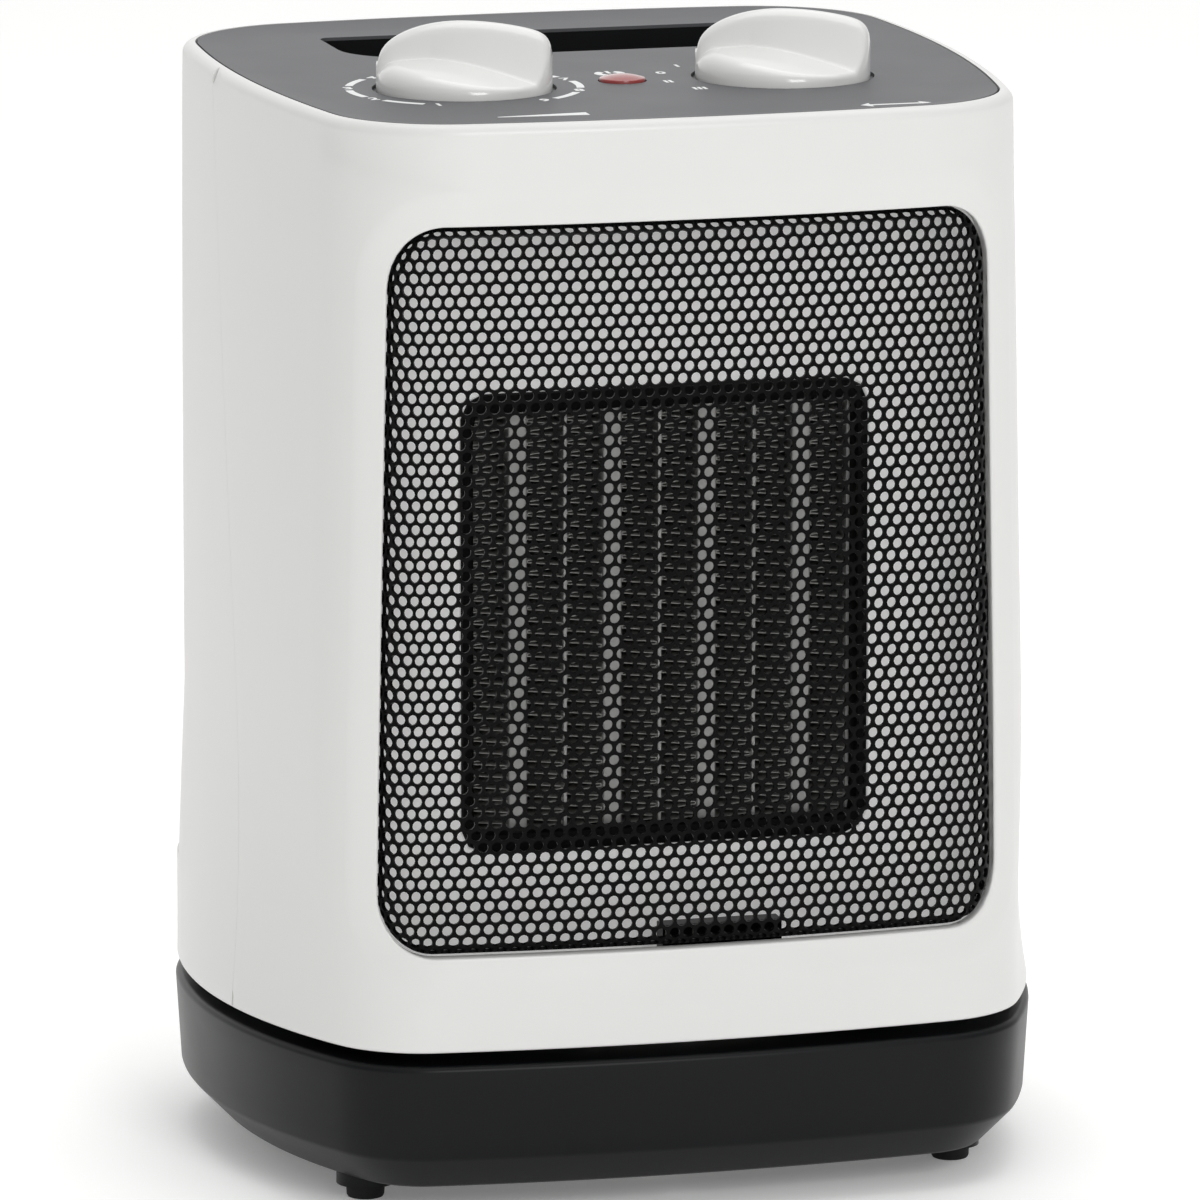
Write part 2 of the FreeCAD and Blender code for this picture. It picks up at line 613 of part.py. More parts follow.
def rubber_feet():
    feet = []
    for x, y in FEET:
        pad = Part.makeCone(FOOT_R - 0.3, FOOT_R, 4.35, V(x, y, 0))
        feet.append(pad.fuse(rod(x, y, 4.0, 11.0, 2.0)))
    return group(feet)


def base_screws():
    return group([screw(x, y, 5.2, 6.9, 26.0, 2.8, 1.4) for x, y in BASE_SCREWS])


def pivot_bush():
    sleeve = tube(0, 0, 22.6, DECK_Z, SPINDLE_R + RUNNING, 13.05)
    return sleeve.fuse(tube(0, 0, 21.6, 23.9, SPINDLE_R + RUNNING, 16.0))


def glide_ring():
    return tube(0, 0, DECK_Z + 0.02, 38.3, 62.0, 66.0)


def slot_span():
    """Ends of the swing slot, from the roller's nearest and farthest place on the pivot's line."""
    near = math.hypot(CRANK_Y, CRANK_R) - ROLLER_R - 2.0
    return near, CRANK_Y + CRANK_R + ROLLER_R + 1.0


def slot_block(y0, y1, half_w, z0, z1):
    middle = box(-half_w, half_w, y0, y1, z0, z1)
    return middle.fuse(rod(0, y0, z0, z1, half_w)).fuse(rod(0, y1, z0, z1, half_w))


def swing_slot_liner():
    y0, y1 = slot_span()
    liner = slot_block(y0, y1, ROLLER_R + SLOT_PLAY + 1.95, DECK_Z - 6.0, DECK_Z)
    return liner.cut(slot_block(y0, y1, ROLLER_R + SLOT_PLAY, 20, 40))


def cord_inlet():
    bush = tube_y(INLET_X, INLET_Z, INLET_Y0, INLET_Y1, 3.6, INLET_R)
    flange = tube_y(INLET_X, INLET_Z, INLET_Y0 - 1.0, INLET_Y0 + 1.0, 3.6, INLET_R + 2.5)
    return bush.fuse(flange)


def terminal_block():
    block = box(-30, 2, 58, 70, 9.5, 21.0)
    for i in range(3):
        block = block.cut(rod(-24 + 10 * i, 64, 14, 30, 2.2))
    return block


def tip_switch():
    x, y = PLUNGER_X, PLUNGER_Y
    body = box(x - 10, x + 10, y - 8, y + 8, 9.45, 31.5)
    return body.cut(rod(x, y, 5, 29.0, PLUNGER_R + 2.4))


def tip_plunger():
    x, y = PLUNGER_X, PLUNGER_Y
    return rod(x, y, 0.0, 20.0, PLUNGER_R).fuse(rod(x, y, 15.0, 17.0, PLUNGER_R + 1.9))


def tip_spring():
    """Light coil spring of eight-sided wire, between the plunger's collar and the roof of the switch."""
    helix = Part.makeHelix(SPRING_PITCH, 5 * SPRING_PITCH, SPRING_R)
    helix.translate(V(PLUNGER_X, PLUNGER_Y, 17.5))
    start = helix.Vertexes[0].Point
    corners = []
    for i in range(8):
        angle = math.radians(45 * i)
        corners.append(start + V(math.cos(angle), 0, math.sin(angle)) * SPRING_WIRE_R)
    return helix.makePipeShell([Part.makePolygon(corners + corners[:1])], True, True)


# ---------------------------------------------------------------- swing drive in the head

def swing_motor():
    z0 = FLOOR_Z + FLOOR_T + 0.05
    can = rod(0, CRANK_Y, z0, z0 + 17.0, 24.5)
    ears = box(-31, 31, CRANK_Y - 4, CRANK_Y + 4, z0, z0 + 1.2)
    collar = rod(0, CRANK_Y, FLOOR_Z - 0.3, z0 + 1, 4.6)
    return can.fuse(ears).fuse(collar).cut(rod(0, CRANK_Y, 30, z0 + 8.0, SHAFT_R + RUNNING))


def swing_crank():
    """Shaft, arm and pin; at rest the arm points straight back from the pivot."""
    shaft = rod(0, CRANK_Y, 36.4, 50.0, SHAFT_R)
    arm = box(-4, 4, CRANK_Y, CRANK_Y + CRANK_R, 36.4, 39.6)
    arm = arm.fuse(rod(0, CRANK_Y, 36.4, 39.6, 6.0)).fuse(rod(0, CRANK_Y + CRANK_R, 36.4, 39.6, 4.0))
    return shaft.fuse(arm).fuse(rod(0, CRANK_Y + CRANK_R, 29.0, 37.0, 1.5))


def crank_roller():
    return tube(0, CRANK_Y + CRANK_R, 30.0, 36.2, 1.55, ROLLER_R)


PARTS = {
    "front_shell": front_shell, "rear_shell": rear_shell, "head_floor": head_floor,
    "floor_screws": floor_screws, "spindle_retainer": spindle_retainer, "retainer_screws": retainer_screws,
    "top_panel": top_panel, "handle_well": handle_well, "front_grille": front_grille,
    "grille_retainers": grille_retainers, "reflector_plate": reflector_plate, "heater_frame": heater_frame,
    "ptc_bars": ptc_bars, "contact_strips": contact_strips, "fin_packs": fin_packs,
    "heater_terminals": heater_terminals, "fan_shroud": fan_shroud, "thermal_cutout": thermal_cutout,
    "thermal_fuse": thermal_fuse, "fan_wheel": fan_wheel, "fan_shaft": fan_shaft, "motor_rotor": motor_rotor,
    "motor_stator": motor_stator, "motor_coil": motor_coil, "bearing_brackets": bearing_brackets,
    "motor_mount": motor_mount, "mount_screws": mount_screws, "dust_filter": dust_filter,
    "thermostat_knob": thermostat_knob, "thermostat_shaft": thermostat_shaft,
    "mode_knob": mode_knob, "mode_shaft": mode_shaft,
    "mode_switch": mode_switch, "thermostat": thermostat, "pilot_lens": pilot_lens, "pilot_lamp": pilot_lamp,
    "base_shell": base_shell, "base_plate": base_plate, "rubber_feet": rubber_feet,
    "base_screws": base_screws,
    "pivot_bush": pivot_bush, "glide_ring": glide_ring, "swing_slot_liner": swing_slot_liner,
    "cord_inlet": cord_inlet, "terminal_block": terminal_block, "tip_switch": tip_switch,
    "tip_plunger": tip_plunger, "tip_spring": tip_spring, "swing_motor": swing_motor,
    "swing_crank": swing_crank, "crank_roller": crank_roller,
}

os.makedirs("parts", exist_ok=True)
for name, make in PARTS.items():
    shape = make()
    shape.exportStep("parts/" + name + ".step")
    print(name, "solids", len(shape.Solids), "valid", shape.isValid(), "volume", round(shape.Volume))
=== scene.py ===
"""Swinging ceramic space heater: the finished look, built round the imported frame.

Sizes are in millimetres and become metres where a mesh is made. +Z is up, the warm-air grille faces -Y,
and the origin is on the table under the middle of the heater.
"""
import logging
import math
from contextlib import contextmanager
from dataclasses import dataclass
from enum import Enum
from functools import lru_cache
from typing import Callable, Iterable, Iterator, Sequence

import bmesh
import bpy
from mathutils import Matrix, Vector


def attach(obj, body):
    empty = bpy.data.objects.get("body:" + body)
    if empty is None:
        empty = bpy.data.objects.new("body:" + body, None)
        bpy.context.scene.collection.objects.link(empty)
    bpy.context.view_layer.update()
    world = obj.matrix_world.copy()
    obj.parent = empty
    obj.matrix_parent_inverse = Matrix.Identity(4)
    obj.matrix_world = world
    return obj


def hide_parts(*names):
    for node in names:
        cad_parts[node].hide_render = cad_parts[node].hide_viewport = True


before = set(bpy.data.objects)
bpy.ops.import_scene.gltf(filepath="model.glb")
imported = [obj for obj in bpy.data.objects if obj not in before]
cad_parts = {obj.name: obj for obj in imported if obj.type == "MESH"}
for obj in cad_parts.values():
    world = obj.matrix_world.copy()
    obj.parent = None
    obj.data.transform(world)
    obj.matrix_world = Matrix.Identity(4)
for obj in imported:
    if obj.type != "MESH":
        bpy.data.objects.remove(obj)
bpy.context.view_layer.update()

LOG = logging.getLogger("heater")
MM = 0.001

Thing = bpy.types.Object
Place = Callable[[float, float], Sequence[float]]


# ------------------------------------------------------------------ hand tools


def start_fresh() -> None:
    """Leaves edit mode and deselects everything."""
    if bpy.context.object and bpy.context.object.mode != "OBJECT":
        bpy.ops.object.mode_set(mode="OBJECT")
    bpy.ops.object.select_all(action="DESELECT")


def take(piece: Thing) -> None:
    """Makes piece the only selected object, and the active one."""
    start_fresh()
    piece.select_set(True)
    bpy.context.view_layer.objects.active = piece


def claim(name: str) -> Thing:
    """Names the object that was just added, and moves its place into its mesh."""
    piece = bpy.context.object
    piece.name = name
    piece.data.name = name
    bpy.ops.object.transform_apply(location=True, rotation=True, scale=True)
    return piece


@contextmanager
def editing(piece: Thing, kind: str = "EDGE") -> Iterator[bmesh.types.BMesh]:
    """Opens piece in edit mode with nothing selected.

    Args:
        piece: The mesh object to shape.
        kind: What is picked: VERT, EDGE or FACE.
    """
    take(piece)
    bpy.ops.object.mode_set(mode="EDIT")
    bpy.ops.mesh.select_mode(type=kind)
    bpy.ops.mesh.select_all(action="DESELECT")
    yield bmesh.from_edit_mesh(piece.data)
    bpy.ops.object.mode_set(mode="OBJECT")


def pick(items: Iterable, wanted: Callable) -> None:
    """Selects the vertices, edges or faces that pass the test."""
    for item in items:
        if wanted(item):
            item.select_set(True)


def tidy(piece: Thing) -> Thing:
    """Merges doubled points and turns every face outwards."""
    with editing(piece, "VERT"):
        bpy.ops.mesh.select_all(action="SELECT")
        bpy.ops.mesh.remove_doubles(threshold=0.002 * MM)
        bpy.ops.mesh.dissolve_degenerate(threshold=0.0005 * MM)
        bpy.ops.mesh.normals_make_consistent(inside=False)
    return piece


def sheet(name: str, columns: int, rows: int, place: Place) -> Thing:
    """Adds a grid and puts each of its crossings where place says.

    Args:
        name: Name of the new piece.
        columns: Cells from u = 0 to u = 1.
        rows: Cells from v = 0 to v = 1.
        place: Gives the point in millimetres for a pair u, v.

    Returns:
        The new piece, with doubled points merged and faces outwards.
    """
    start_fresh()
    bpy.ops.mesh.primitive_grid_add(x_subdivisions=columns, y_subdivisions=rows, size=1.0,
                                    location=(0.5, 0.5, 0.0))
    piece = claim(name)
    for vertex in piece.data.vertices:
        u, v = round(vertex.co.x * columns) / columns, round(vertex.co.y * rows) / rows
        vertex.co = Vector(place(u, v)) * MM
    return tidy(piece)


def block(name: str, low: Sequence[float], high: Sequence[float]) -> Thing:
    """Adds a box between two corners, in millimetres."""
    start_fresh()
    middle = [(a + b) / 2 * MM for a, b in zip(low, high)]
    size = [(b - a) * MM for a, b in zip(low, high)]
    bpy.ops.mesh.primitive_cube_add(size=1.0, location=middle, scale=size)
    return claim(name)


def drum(name: str, centre: Sequence[float], radius: float, length: float, along: str = "Z",
         sides: int = 96) -> Thing:
    """Adds a cylinder by its middle, in millimetres, along the named axis."""
    start_fresh()
    turn = {"X": (0, math.pi / 2, 0), "Y": (math.pi / 2, 0, 0), "Z": (0, 0, 0)}[along]
    bpy.ops.mesh.primitive_cylinder_add(vertices=sides, radius=radius * MM, depth=length * MM,
                                        location=[c * MM for c in centre], rotation=turn)
    return claim(name)


def shape_with(piece: Thing, kind: str, **settings) -> Thing:
    """Adds a modifier with its settings and applies it."""
    take(piece)
    step = piece.modifiers.new(kind.title(), kind)
    for key, value in settings.items():
        setattr(step, key, value)
    bpy.ops.object.modifier_apply(modifier=step.name)
    return piece


def cut(piece: Thing, *tools: Thing) -> Thing:
    """Takes the tools' shapes out of piece and throws the tools away."""
    for tool in tools:
        shape_with(piece, "BOOLEAN", operation="DIFFERENCE", solver="EXACT", object=tool)
        bpy.data.objects.remove(tool)
    return piece


def ease(piece: Thing, width: float, segments: int = 3, angle: float = 40.0) -> Thing:
    """Rounds every edge sharper than angle degrees, by width in millimetres."""
    return shape_with(piece, "BEVEL", width=width * MM, segments=segments, limit_method="ANGLE",
                      angle_limit=math.radians(angle), use_clamp_overlap=True)


def smooth(piece: Thing, angle: float = 35.0, weighted: bool = False) -> Thing:
    """Shades piece smooth up to angle degrees. Weighted keeps the large faces flat."""
    take(piece)
    bpy.ops.object.shade_smooth_by_angle(angle=math.radians(angle))
    if weighted:
        shape_with(piece, "WEIGHTED_NORMAL", mode="FACE_AREA", weight=100, keep_sharp=True)
    return piece


def join(name: str, pieces: Sequence[Thing]) -> Thing:
    """Joins pieces into one object with that name."""
    start_fresh()
    for piece in pieces:
        piece.select_set(True)
    bpy.context.view_layer.objects.active = pieces[0]
    if len(pieces) > 1:
        bpy.ops.object.join()
    pieces[0].name = name
    pieces[0].data.name = name
    return pieces[0]


def copy_of(piece: Thing, name: str, shift: Sequence[float]) -> Thing:
    """Copies piece with a mesh of its own, moved by shift in millimetres."""
    twin = piece.copy()
    twin.data = piece.data.copy()
    bpy.context.scene.collection.objects.link(twin)
    twin.name = name
    twin.data.name = name
    for vertex in twin.data.vertices:
        vertex.co += Vector(shift) * MM
    return twin


# ------------------------------------------------------------------ outlines


def round_loop(share: float, half_a: float, half_b: float, radius: float) -> tuple[float, float]:
    """Point on a rounded rectangle centred on the origin.

    Args:
        share: From 0 to 1 round the loop. Each quarter runs from the middle of one corner to the next,
            and the first quarter is the side at -b.
        half_a: Half of its width.
        half_b: Half of its height.
        radius: Radius of its corners.

    Returns:
        The point's a and b.
    """
    side = int(share * 4) % 4
    along = share * 4 - int(share * 4)
    reach, stand = (half_a, half_b) if side % 2 == 0 else (half_b, half_a)
    arc, straight = radius * math.pi / 4, 2 * (reach - radius)
    way = along * (2 * arc + straight)
    if way < arc:
        turn = -3 * math.pi / 4 + way / max(radius, 1e-9)
        p, q = -(reach - radius) + radius * math.cos(turn), -(stand - radius) + radius * math.sin(turn)
    elif way <= arc + straight:
        p, q = -(reach - radius) + way - arc, -stand
    else:
        turn = -math.pi / 2 + (way - arc - straight) / max(radius, 1e-9)
        p, q = (reach - radius) + radius * math.cos(turn), -(stand - radius) + radius * math.sin(turn)
    return [(p, q), (-q, p), (-p, -q), (q, -p)][side]


@dataclass(frozen=True)
class Span:
    """One arc of the casing's outline: its centre, radius and the angles it runs between."""

    x: float
    y: float
    radius: float
    start: float
    end: float


@dataclass(frozen=True)
class Plan:
    """The casing seen from above: four bowed sides joined by tangent corner arcs."""

    half_depth: float = 84.3
    half_w_top: float = 83.9
    half_w_bottom: float = 88.4
    half_w_foot: float = 93.5
    widest_y: tuple[float, float] = (14.0, 0.0)
    bow_span: float = 80.0
    front_bow: float = 6.9
    rear_bow: float = 6.2
    side_bow: tuple[float, float] = (8.0, 23.5)
    front_corner: tuple[float, float] = (29.5, 25.0)
    rear_corner: tuple[float, float] = (32.0, 70.0)
    flare_z: float = 112.0
    body_z: float = 38.3
    rim_z: float = 241.0
    seam_bottom_y: float = -26.0
    seam_top_y: float = 17.0

    def flared(self, z: float, upright: float, foot: float) -> float:
        """Size at height z, between its value on the upright part and its value at the foot."""
        share = min(max((self.flare_z - z) / (self.flare_z - self.body_z), 0.0), 1.0)
        return upright + (foot - upright) * share ** 2

    def half_w(self, z: float) -> float:
        """Half of the casing's width at height z."""
        rise = (max(z, self.body_z) - self.body_z) / (self.rim_z - self.body_z)
        straight = self.half_w_bottom + (self.half_w_top - self.half_w_bottom) * rise
        return straight + self.flared(z, 0.0, self.half_w_foot - self.half_w_bottom)

    def seam_y(self, z: float) -> float:
        """Where the joint between the shells stands at height z."""
        rise = (z - self.body_z) / (self.rim_z - self.body_z)
        return self.seam_bottom_y + (self.seam_top_y - self.seam_bottom_y) * rise

    def bow_radius(self, bow: float) -> float:
        """Radius of a side that bows by that much over the span."""
        return (self.bow_span ** 2 + bow ** 2) / (2 * bow)

    @lru_cache(maxsize=4096)
    def spans(self, z: float, drawn: float = 0.0) -> tuple[Span, ...]:
        """Arcs of the right half at height z, from the middle of the front to the middle of the back.

        Args:
            z: The height.
            drawn: How far the back is drawn in there.
        """
        rear = self.half_depth - drawn
        nose_r, heel_r = self.flared(z, *self.front_corner), self.flared(z, *self.rear_corner)
        bows = self.front_bow, self.rear_bow, self.flared(z, *self.side_bow)
        rf, rr, rs = (self.bow_radius(bow) for bow in bows)
        front, back = (0.0, rf - self.half_depth), (0.0, rear - rr)
        side = (self.half_w(z) - rs, self.flared(z, *self.widest_y))
        nose = meet(front, rf - nose_r, side, rs - nose_r, -1.0)
        heel = meet(back, rr - heel_r, side, rs - heel_r, 1.0)
        turns = [-math.pi / 2, heading(front, nose), heading(side, nose), heading(side, heel),
                 heading(back, heel), math.pi / 2]
        parts = [(front, rf), (nose, nose_r), (side, rs), (heel, heel_r), (back, rr)]
        return tuple(Span(c[0], c[1], r, a, b) for (c, r), a, b in zip(parts, turns, turns[1:]))

    def point(self, spans: Sequence[Span], angle: float, inset: float) -> tuple[float, float]:
        """Point whose outward direction is angle, inset from the outline."""
        span = next((s for s in spans if angle <= s.end + 1e-12), spans[-1])
        reach = span.radius - inset
        return span.x + reach * math.cos(angle), span.y + reach * math.sin(angle)

    def angle_at(self, spans: Sequence[Span], length: float) -> float:
        """Outward direction at that distance along the outline from the middle of the front."""
        for span in spans:
            arc = span.radius * (span.end - span.start)
            if length <= arc:
                return span.start + length / span.radius
            length -= arc
        return spans[-1].end

    def length_to(self, spans: Sequence[Span], angle: float) -> float:
        """Distance along the outline from the middle of the front to that outward direction."""
        return sum(s.radius * (min(angle, s.end) - s.start) for s in spans if angle > s.start)

    def seam_angle(self, z: float, spans: Sequence[Span]) -> float:
        """Outward direction at the joint between the shells."""
        side = spans[2]
        return math.asin((self.seam_y(z) - side.y) / side.radius)

    def loop(self, share: float, z: float, inset: float) -> tuple[float, float, float]:
        """Point round the whole outline at height z, spaced evenly along it."""
        spans = self.spans(z)
        whole = self.length_to(spans, math.pi / 2)
        way = abs(share - 0.5) * 2 * whole
        x, y = self.point(spans, self.angle_at(spans, way), inset)
        return (x if share > 0.5 else -x), y, z


def heading(start: Sequence[float], end: Sequence[float]) -> float:
    """Angle of the line from start to end."""
    return math.atan2(end[1] - start[1], end[0] - start[0])


def meet(c1: Sequence[float], r1: float, c2: Sequence[float], r2: float, y_side: float) -> tuple[float, float]:
    """Point where two circles meet, on the right, at the front (y_side -1) or the back (y_side 1)."""
    dx, dy = c2[0] - c1[0], c2[1] - c1[1]
    d = math.hypot(dx, dy)
    along = (r1 * r1 - r2 * r2 + d * d) / (2 * d)
    off = math.sqrt(r1 * r1 - along * along)
    found = [(c1[0] + (dx * along - s * dy * off) / d, c1[1] + (dy * along + s * dx * off) / d) for s in (1, -1)]
    return max(found, key=lambda p: p[0] + y_side * p[1])


PLAN = Plan()


def eased(over: float, radius: float) -> float:
    """How far a rounded edge lies inside, at over past the start of its rounding."""
    over = min(max(over, 0.0), radius)
    return radius - math.sqrt(radius * radius - over * over)


def soft_step(x: float) -> float:
    """Smooth rise from 0 to 1."""
    x = min(max(x, 0.0), 1.0)
    return x * x * (3 - 2 * x)


# ------------------------------------------------------------------ finishes


def linear(hex_colour: str) -> tuple[float, float, float, float]:
    """Turns an sRGB hex colour into linear light, with full alpha."""
    parts = [int(hex_colour[i:i + 2], 16) / 255 for i in (1, 3, 5)]
    return (*[c / 12.92 if c <= 0.04045 else ((c + 0.055) / 1.055) ** 2.4 for c in parts], 1.0)


def add_node(tree: bpy.types.NodeTree, kind: str, links: dict | None = None, **settings) -> bpy.types.Node:
    """Adds a node with its settings, socket values and links.

    Args:
        tree: The node tree.
        kind: Blender's name of the node's type.
        links: Input name or number to the output socket that feeds it.
        **settings: Attributes of the node. One that starts with in_ sets that input's value.

    Returns:
        The new node.
    """
    node = tree.nodes.new(kind)
    for key, value in settings.items():
        if key.startswith("in_"):
            name = key[3:]
            node.inputs[int(name) if name.isdigit() else name.replace("_", " ")].default_value = value
        else:
            setattr(node, key, value)
    for name, source in (links or {}).items():
        tree.links.new(source, node.inputs[name])
    return node


class Relief(Enum):
    """How a surface's fine relief runs."""

    GRAIN = "even grain"
    BRUSHED_X = "fine lines along X"
    BRUSHED_Z = "fine lines along Z"
    WOVEN = "threads that cross"
    WOUND = "turns of wire, one above another"
    STACKED = "thin plates, one behind another"


STRETCH = {
    Relief.GRAIN: (1.0, 1.0, 1.0),
    Relief.BRUSHED_X: (0.04, 1.0, 1.0),
    Relief.BRUSHED_Z: (1.0, 1.0, 0.04),
}
REPEAT_AXES = {Relief.WOVEN: "XZ", Relief.WOUND: "Z", Relief.STACKED: "Y"}


@dataclass(frozen=True)
class Finish:
    """One finish: the colour, the gloss and the fine relief of a surface."""

    name: str
    colour: str
    roughness: float
    metallic: float = 0.0
    ior: float = 1.5
    specular: float = 0.5
    coat: float = 0.0
    coat_roughness: float = 0.1
    clear: float = 0.0
    relief: Relief = Relief.GRAIN
    grain_mm: float = 0.5
    height_mm: float = 0.01
    mottle: float = 0.03
    mottle_mm: float = 18.0
    gloss_change: float = 0.04
    glow: float = 0.0

    def material(self) -> bpy.types.Material:
        """Gives the finish's material, made once."""
        made = bpy.data.materials.get(self.name)
        return made if made else self.build()

    def build(self) -> bpy.types.Material:
        """Builds the material's nodes on Object coordinates."""
        made = bpy.data.materials.new(self.name)
        made.use_nodes = True
        tree = made.node_tree
        tree.nodes.clear()
        place = add_node(tree, "ShaderNodeTexCoord").outputs["Object"]
        mottle = add_node(tree, "ShaderNodeTexNoise", {"Vector": place}, in_Scale=1 / (self.mottle_mm * MM),
                          in_Detail=3.0).outputs["Fac"]
        base = linear(self.colour)
        dark = (*[c * (1 - self.mottle) for c in base[:3]], 1.0)
        light = (*[min(c * (1 + self.mottle), 1.0) for c in base[:3]], 1.0)
        colour = add_node(tree, "ShaderNodeMix", {"Factor": mottle}, data_type="RGBA", in_6=dark, in_7=light)
        gloss = add_node(tree, "ShaderNodeMapRange", {"Value": mottle}, in_3=self.roughness - self.gloss_change,
                         in_4=self.roughness + self.gloss_change)
        bump = add_node(tree, "ShaderNodeBump", {"Height": self.height(tree, place)}, in_Strength=1.0,
                        in_Distance=self.height_mm * MM)
        shader = add_node(tree, "ShaderNodeBsdfPrincipled", {
            "Base Color": colour.outputs[2], "Roughness": gloss.outputs["Result"],
            "Normal": bump.outputs["Normal"]})
        for socket, value in (("Metallic", self.metallic), ("IOR", self.ior),
                              ("Specular IOR Level", self.specular),
                              ("Coat Weight", self.coat), ("Coat Roughness", self.coat_roughness),
                              ("Transmission Weight", self.clear), ("Emission Strength", self.glow)):
            shader.inputs[socket].default_value = value
        if self.glow:
            shader.inputs["Emission Color"].default_value = base
        add_node(tree, "ShaderNodeOutputMaterial", {"Surface": shader.outputs["BSDF"]})
        return made

    def height(self, tree: bpy.types.NodeTree, place: bpy.types.NodeSocket) -> bpy.types.NodeSocket:
        """Adds the nodes of the relief and gives its height, from 0 to 1."""
        scale = 1 / (self.grain_mm * MM)
        if self.relief in STRETCH:
            turned = add_node(tree, "ShaderNodeMapping", {"Vector": place}, in_Scale=STRETCH[self.relief])
            return add_node(tree, "ShaderNodeTexNoise", {"Vector": turned.outputs["Vector"]}, in_Scale=scale,
                            in_Detail=4.0, in_Roughness=0.6).outputs["Fac"]
        waves = [add_node(tree, "ShaderNodeTexWave", {"Vector": place}, bands_direction=axis, wave_profile="SIN",
                          in_Scale=scale / 2 / math.pi, in_Distortion=0.2).outputs["Fac"]
                 for axis in REPEAT_AXES[self.relief]]
        if len(waves) == 1:
            return waves[0]
        return add_node(tree, "ShaderNodeMath", {0: waves[0], 1: waves[1]}, operation="MAXIMUM").outputs["Value"]


# ABS moulded in a polished and lightly stoned tool: an even satin gloss with a very fine grain
WHITE_ABS = Finish("white_abs_moulded", "#D9D9D7", 0.34, ior=1.53, grain_mm=0.35, height_mm=0.004, mottle=0.012)
# The knobs' ABS comes from a mirror-polished tool: clear reflections
KNOB_ABS = Finish("white_abs_polished", "#DEDEDC", 0.16, ior=1.53, coat=0.3, coat_roughness=0.06, grain_mm=1.6,
                  height_mm=0.004, mottle=0.01, gloss_change=0.03)
# Black ABS from a spark-eroded tool: dark satin that greys where the light grazes it
BLACK_ABS = Finish("black_abs_textured", "#0B0C0E", 0.36, ior=1.53, specular=0.17, grain_mm=0.4, height_mm=0.012,
                   mottle=0.08)
# Grey panel from a finely etched tool: matt, no clear reflections
GREY_ABS = Finish("grey_abs_etched", "#48494C", 0.5, ior=1.53, grain_mm=0.3, height_mm=0.014, mottle=0.03)
# Steel sheet, punched and stove-enamelled black: smooth, with a soft shine on the webs
BLACK_ENAMEL = Finish("black_enamelled_steel", "#040404", 0.34, specular=0.08, grain_mm=0.8, height_mm=0.006,
                      mottle=0.1)
# Bright zinc-coated steel plate: light, with faint rolling lines. Its slight glow stands for the light that
# passes to and fro between the plate and the pan.
ZINC_PLATE = Finish("zinc_coated_steel", "#F6F6F5", 0.5, metallic=0.15, relief=Relief.BRUSHED_X, grain_mm=0.4,
                    height_mm=0.004, mottle=0.04, glow=0.2)
# Mill-finish aluminium: pale metal with fine drawing lines along the bars
ALUMINIUM = Finish("mill_aluminium", "#BDBDBB", 0.42, metallic=0.45, relief=Relief.BRUSHED_Z, grain_mm=0.3,
                   height_mm=0.004, mottle=0.05)
# Thin fin stock, coloured a darker grey than the bars all over: painted shade for its deep, narrow folds
FIN_STOCK = Finish("aluminium_fin_stock", "#A6A6A2", 0.45, metallic=0.3, relief=Relief.BRUSHED_Z, grain_mm=0.3,
                   height_mm=0.004, mottle=0.08)
# Glass-filled phenolic resin: deep matt black with a coarse skin
PHENOLIC = Finish("black_phenolic_moulded", "#070707", 0.55, specular=0.09, grain_mm=0.6, height_mm=0.02,
                  mottle=0.12)
# Zinc-plated steel: grey, a little streaky
ZINC_STEEL = Finish("zinc_plated_steel", "#B4B6B8", 0.34, metallic=1.0, relief=Relief.BRUSHED_X, grain_mm=0.4,
                    height_mm=0.006, mottle=0.06)
# Stamped electrical steel in a stack: dull grey with a line at each plate
LAMINATIONS = Finish("stacked_electrical_steel", "#6D7073", 0.5, metallic=0.8, relief=Relief.STACKED,
                     grain_mm=1.0, height_mm=0.08, mottle=0.08)
# Die-cast zinc: grey and slightly rough
DIE_CAST = Finish("die_cast_zinc", "#9A9C9E", 0.48, metallic=0.85, grain_mm=0.7, height_mm=0.03, mottle=0.08)
# Enamelled copper wire, wound in turns about half a millimetre apart, drawn twice as coarse so that it shows
COPPER_WIRE = Finish("wound_enamelled_copper", "#B5622C", 0.32, metallic=0.9, relief=Relief.WOUND, grain_mm=1.0,
                     height_mm=0.2, mottle=0.08)
# Plain brass from the strip: warm yellow metal
BRASS = Finish("stamped_brass", "#C9A24B", 0.33, metallic=1.0, relief=Relief.BRUSHED_Z, grain_mm=0.3,
               height_mm=0.005)
# Natural acetal: waxy off-white plastic
ACETAL = Finish("natural_acetal_moulded", "#E2E0D6", 0.38, ior=1.48, grain_mm=0.9, height_mm=0.01)
# Nylon mesh of the dust filter: black threads about a millimetre apart
NYLON_MESH = Finish("woven_nylon_mesh", "#1B1C1D", 0.6, relief=Relief.WOVEN, grain_mm=1.2, height_mm=0.25,
                    mottle=0.1)
# Moulded rubber of the feet and the gland: matt black with a dusty bloom
RUBBER = Finish("black_rubber_moulded", "#161616", 0.72, specular=0.3, grain_mm=0.5, height_mm=0.03, mottle=0.2,
                mottle_mm=6.0)
# Clear red polycarbonate of the lens: deep colour under a glossy skin
RED_LENS = Finish("red_polycarbonate_polished", "#8E2420", 0.14, ior=1.58, coat=0.5, coat_roughness=0.05,
                  grain_mm=1.5, height_mm=0.02, mottle=0.1, mottle_mm=4.0)
# Thin glass of the neon lamp and the fuse
LAMP_GLASS = Finish("drawn_glass", "#EFE6DA", 0.06, ior=1.5, clear=0.9, grain_mm=2.0, height_mm=0.004, mottle=0.02,
                    gloss_change=0.03)
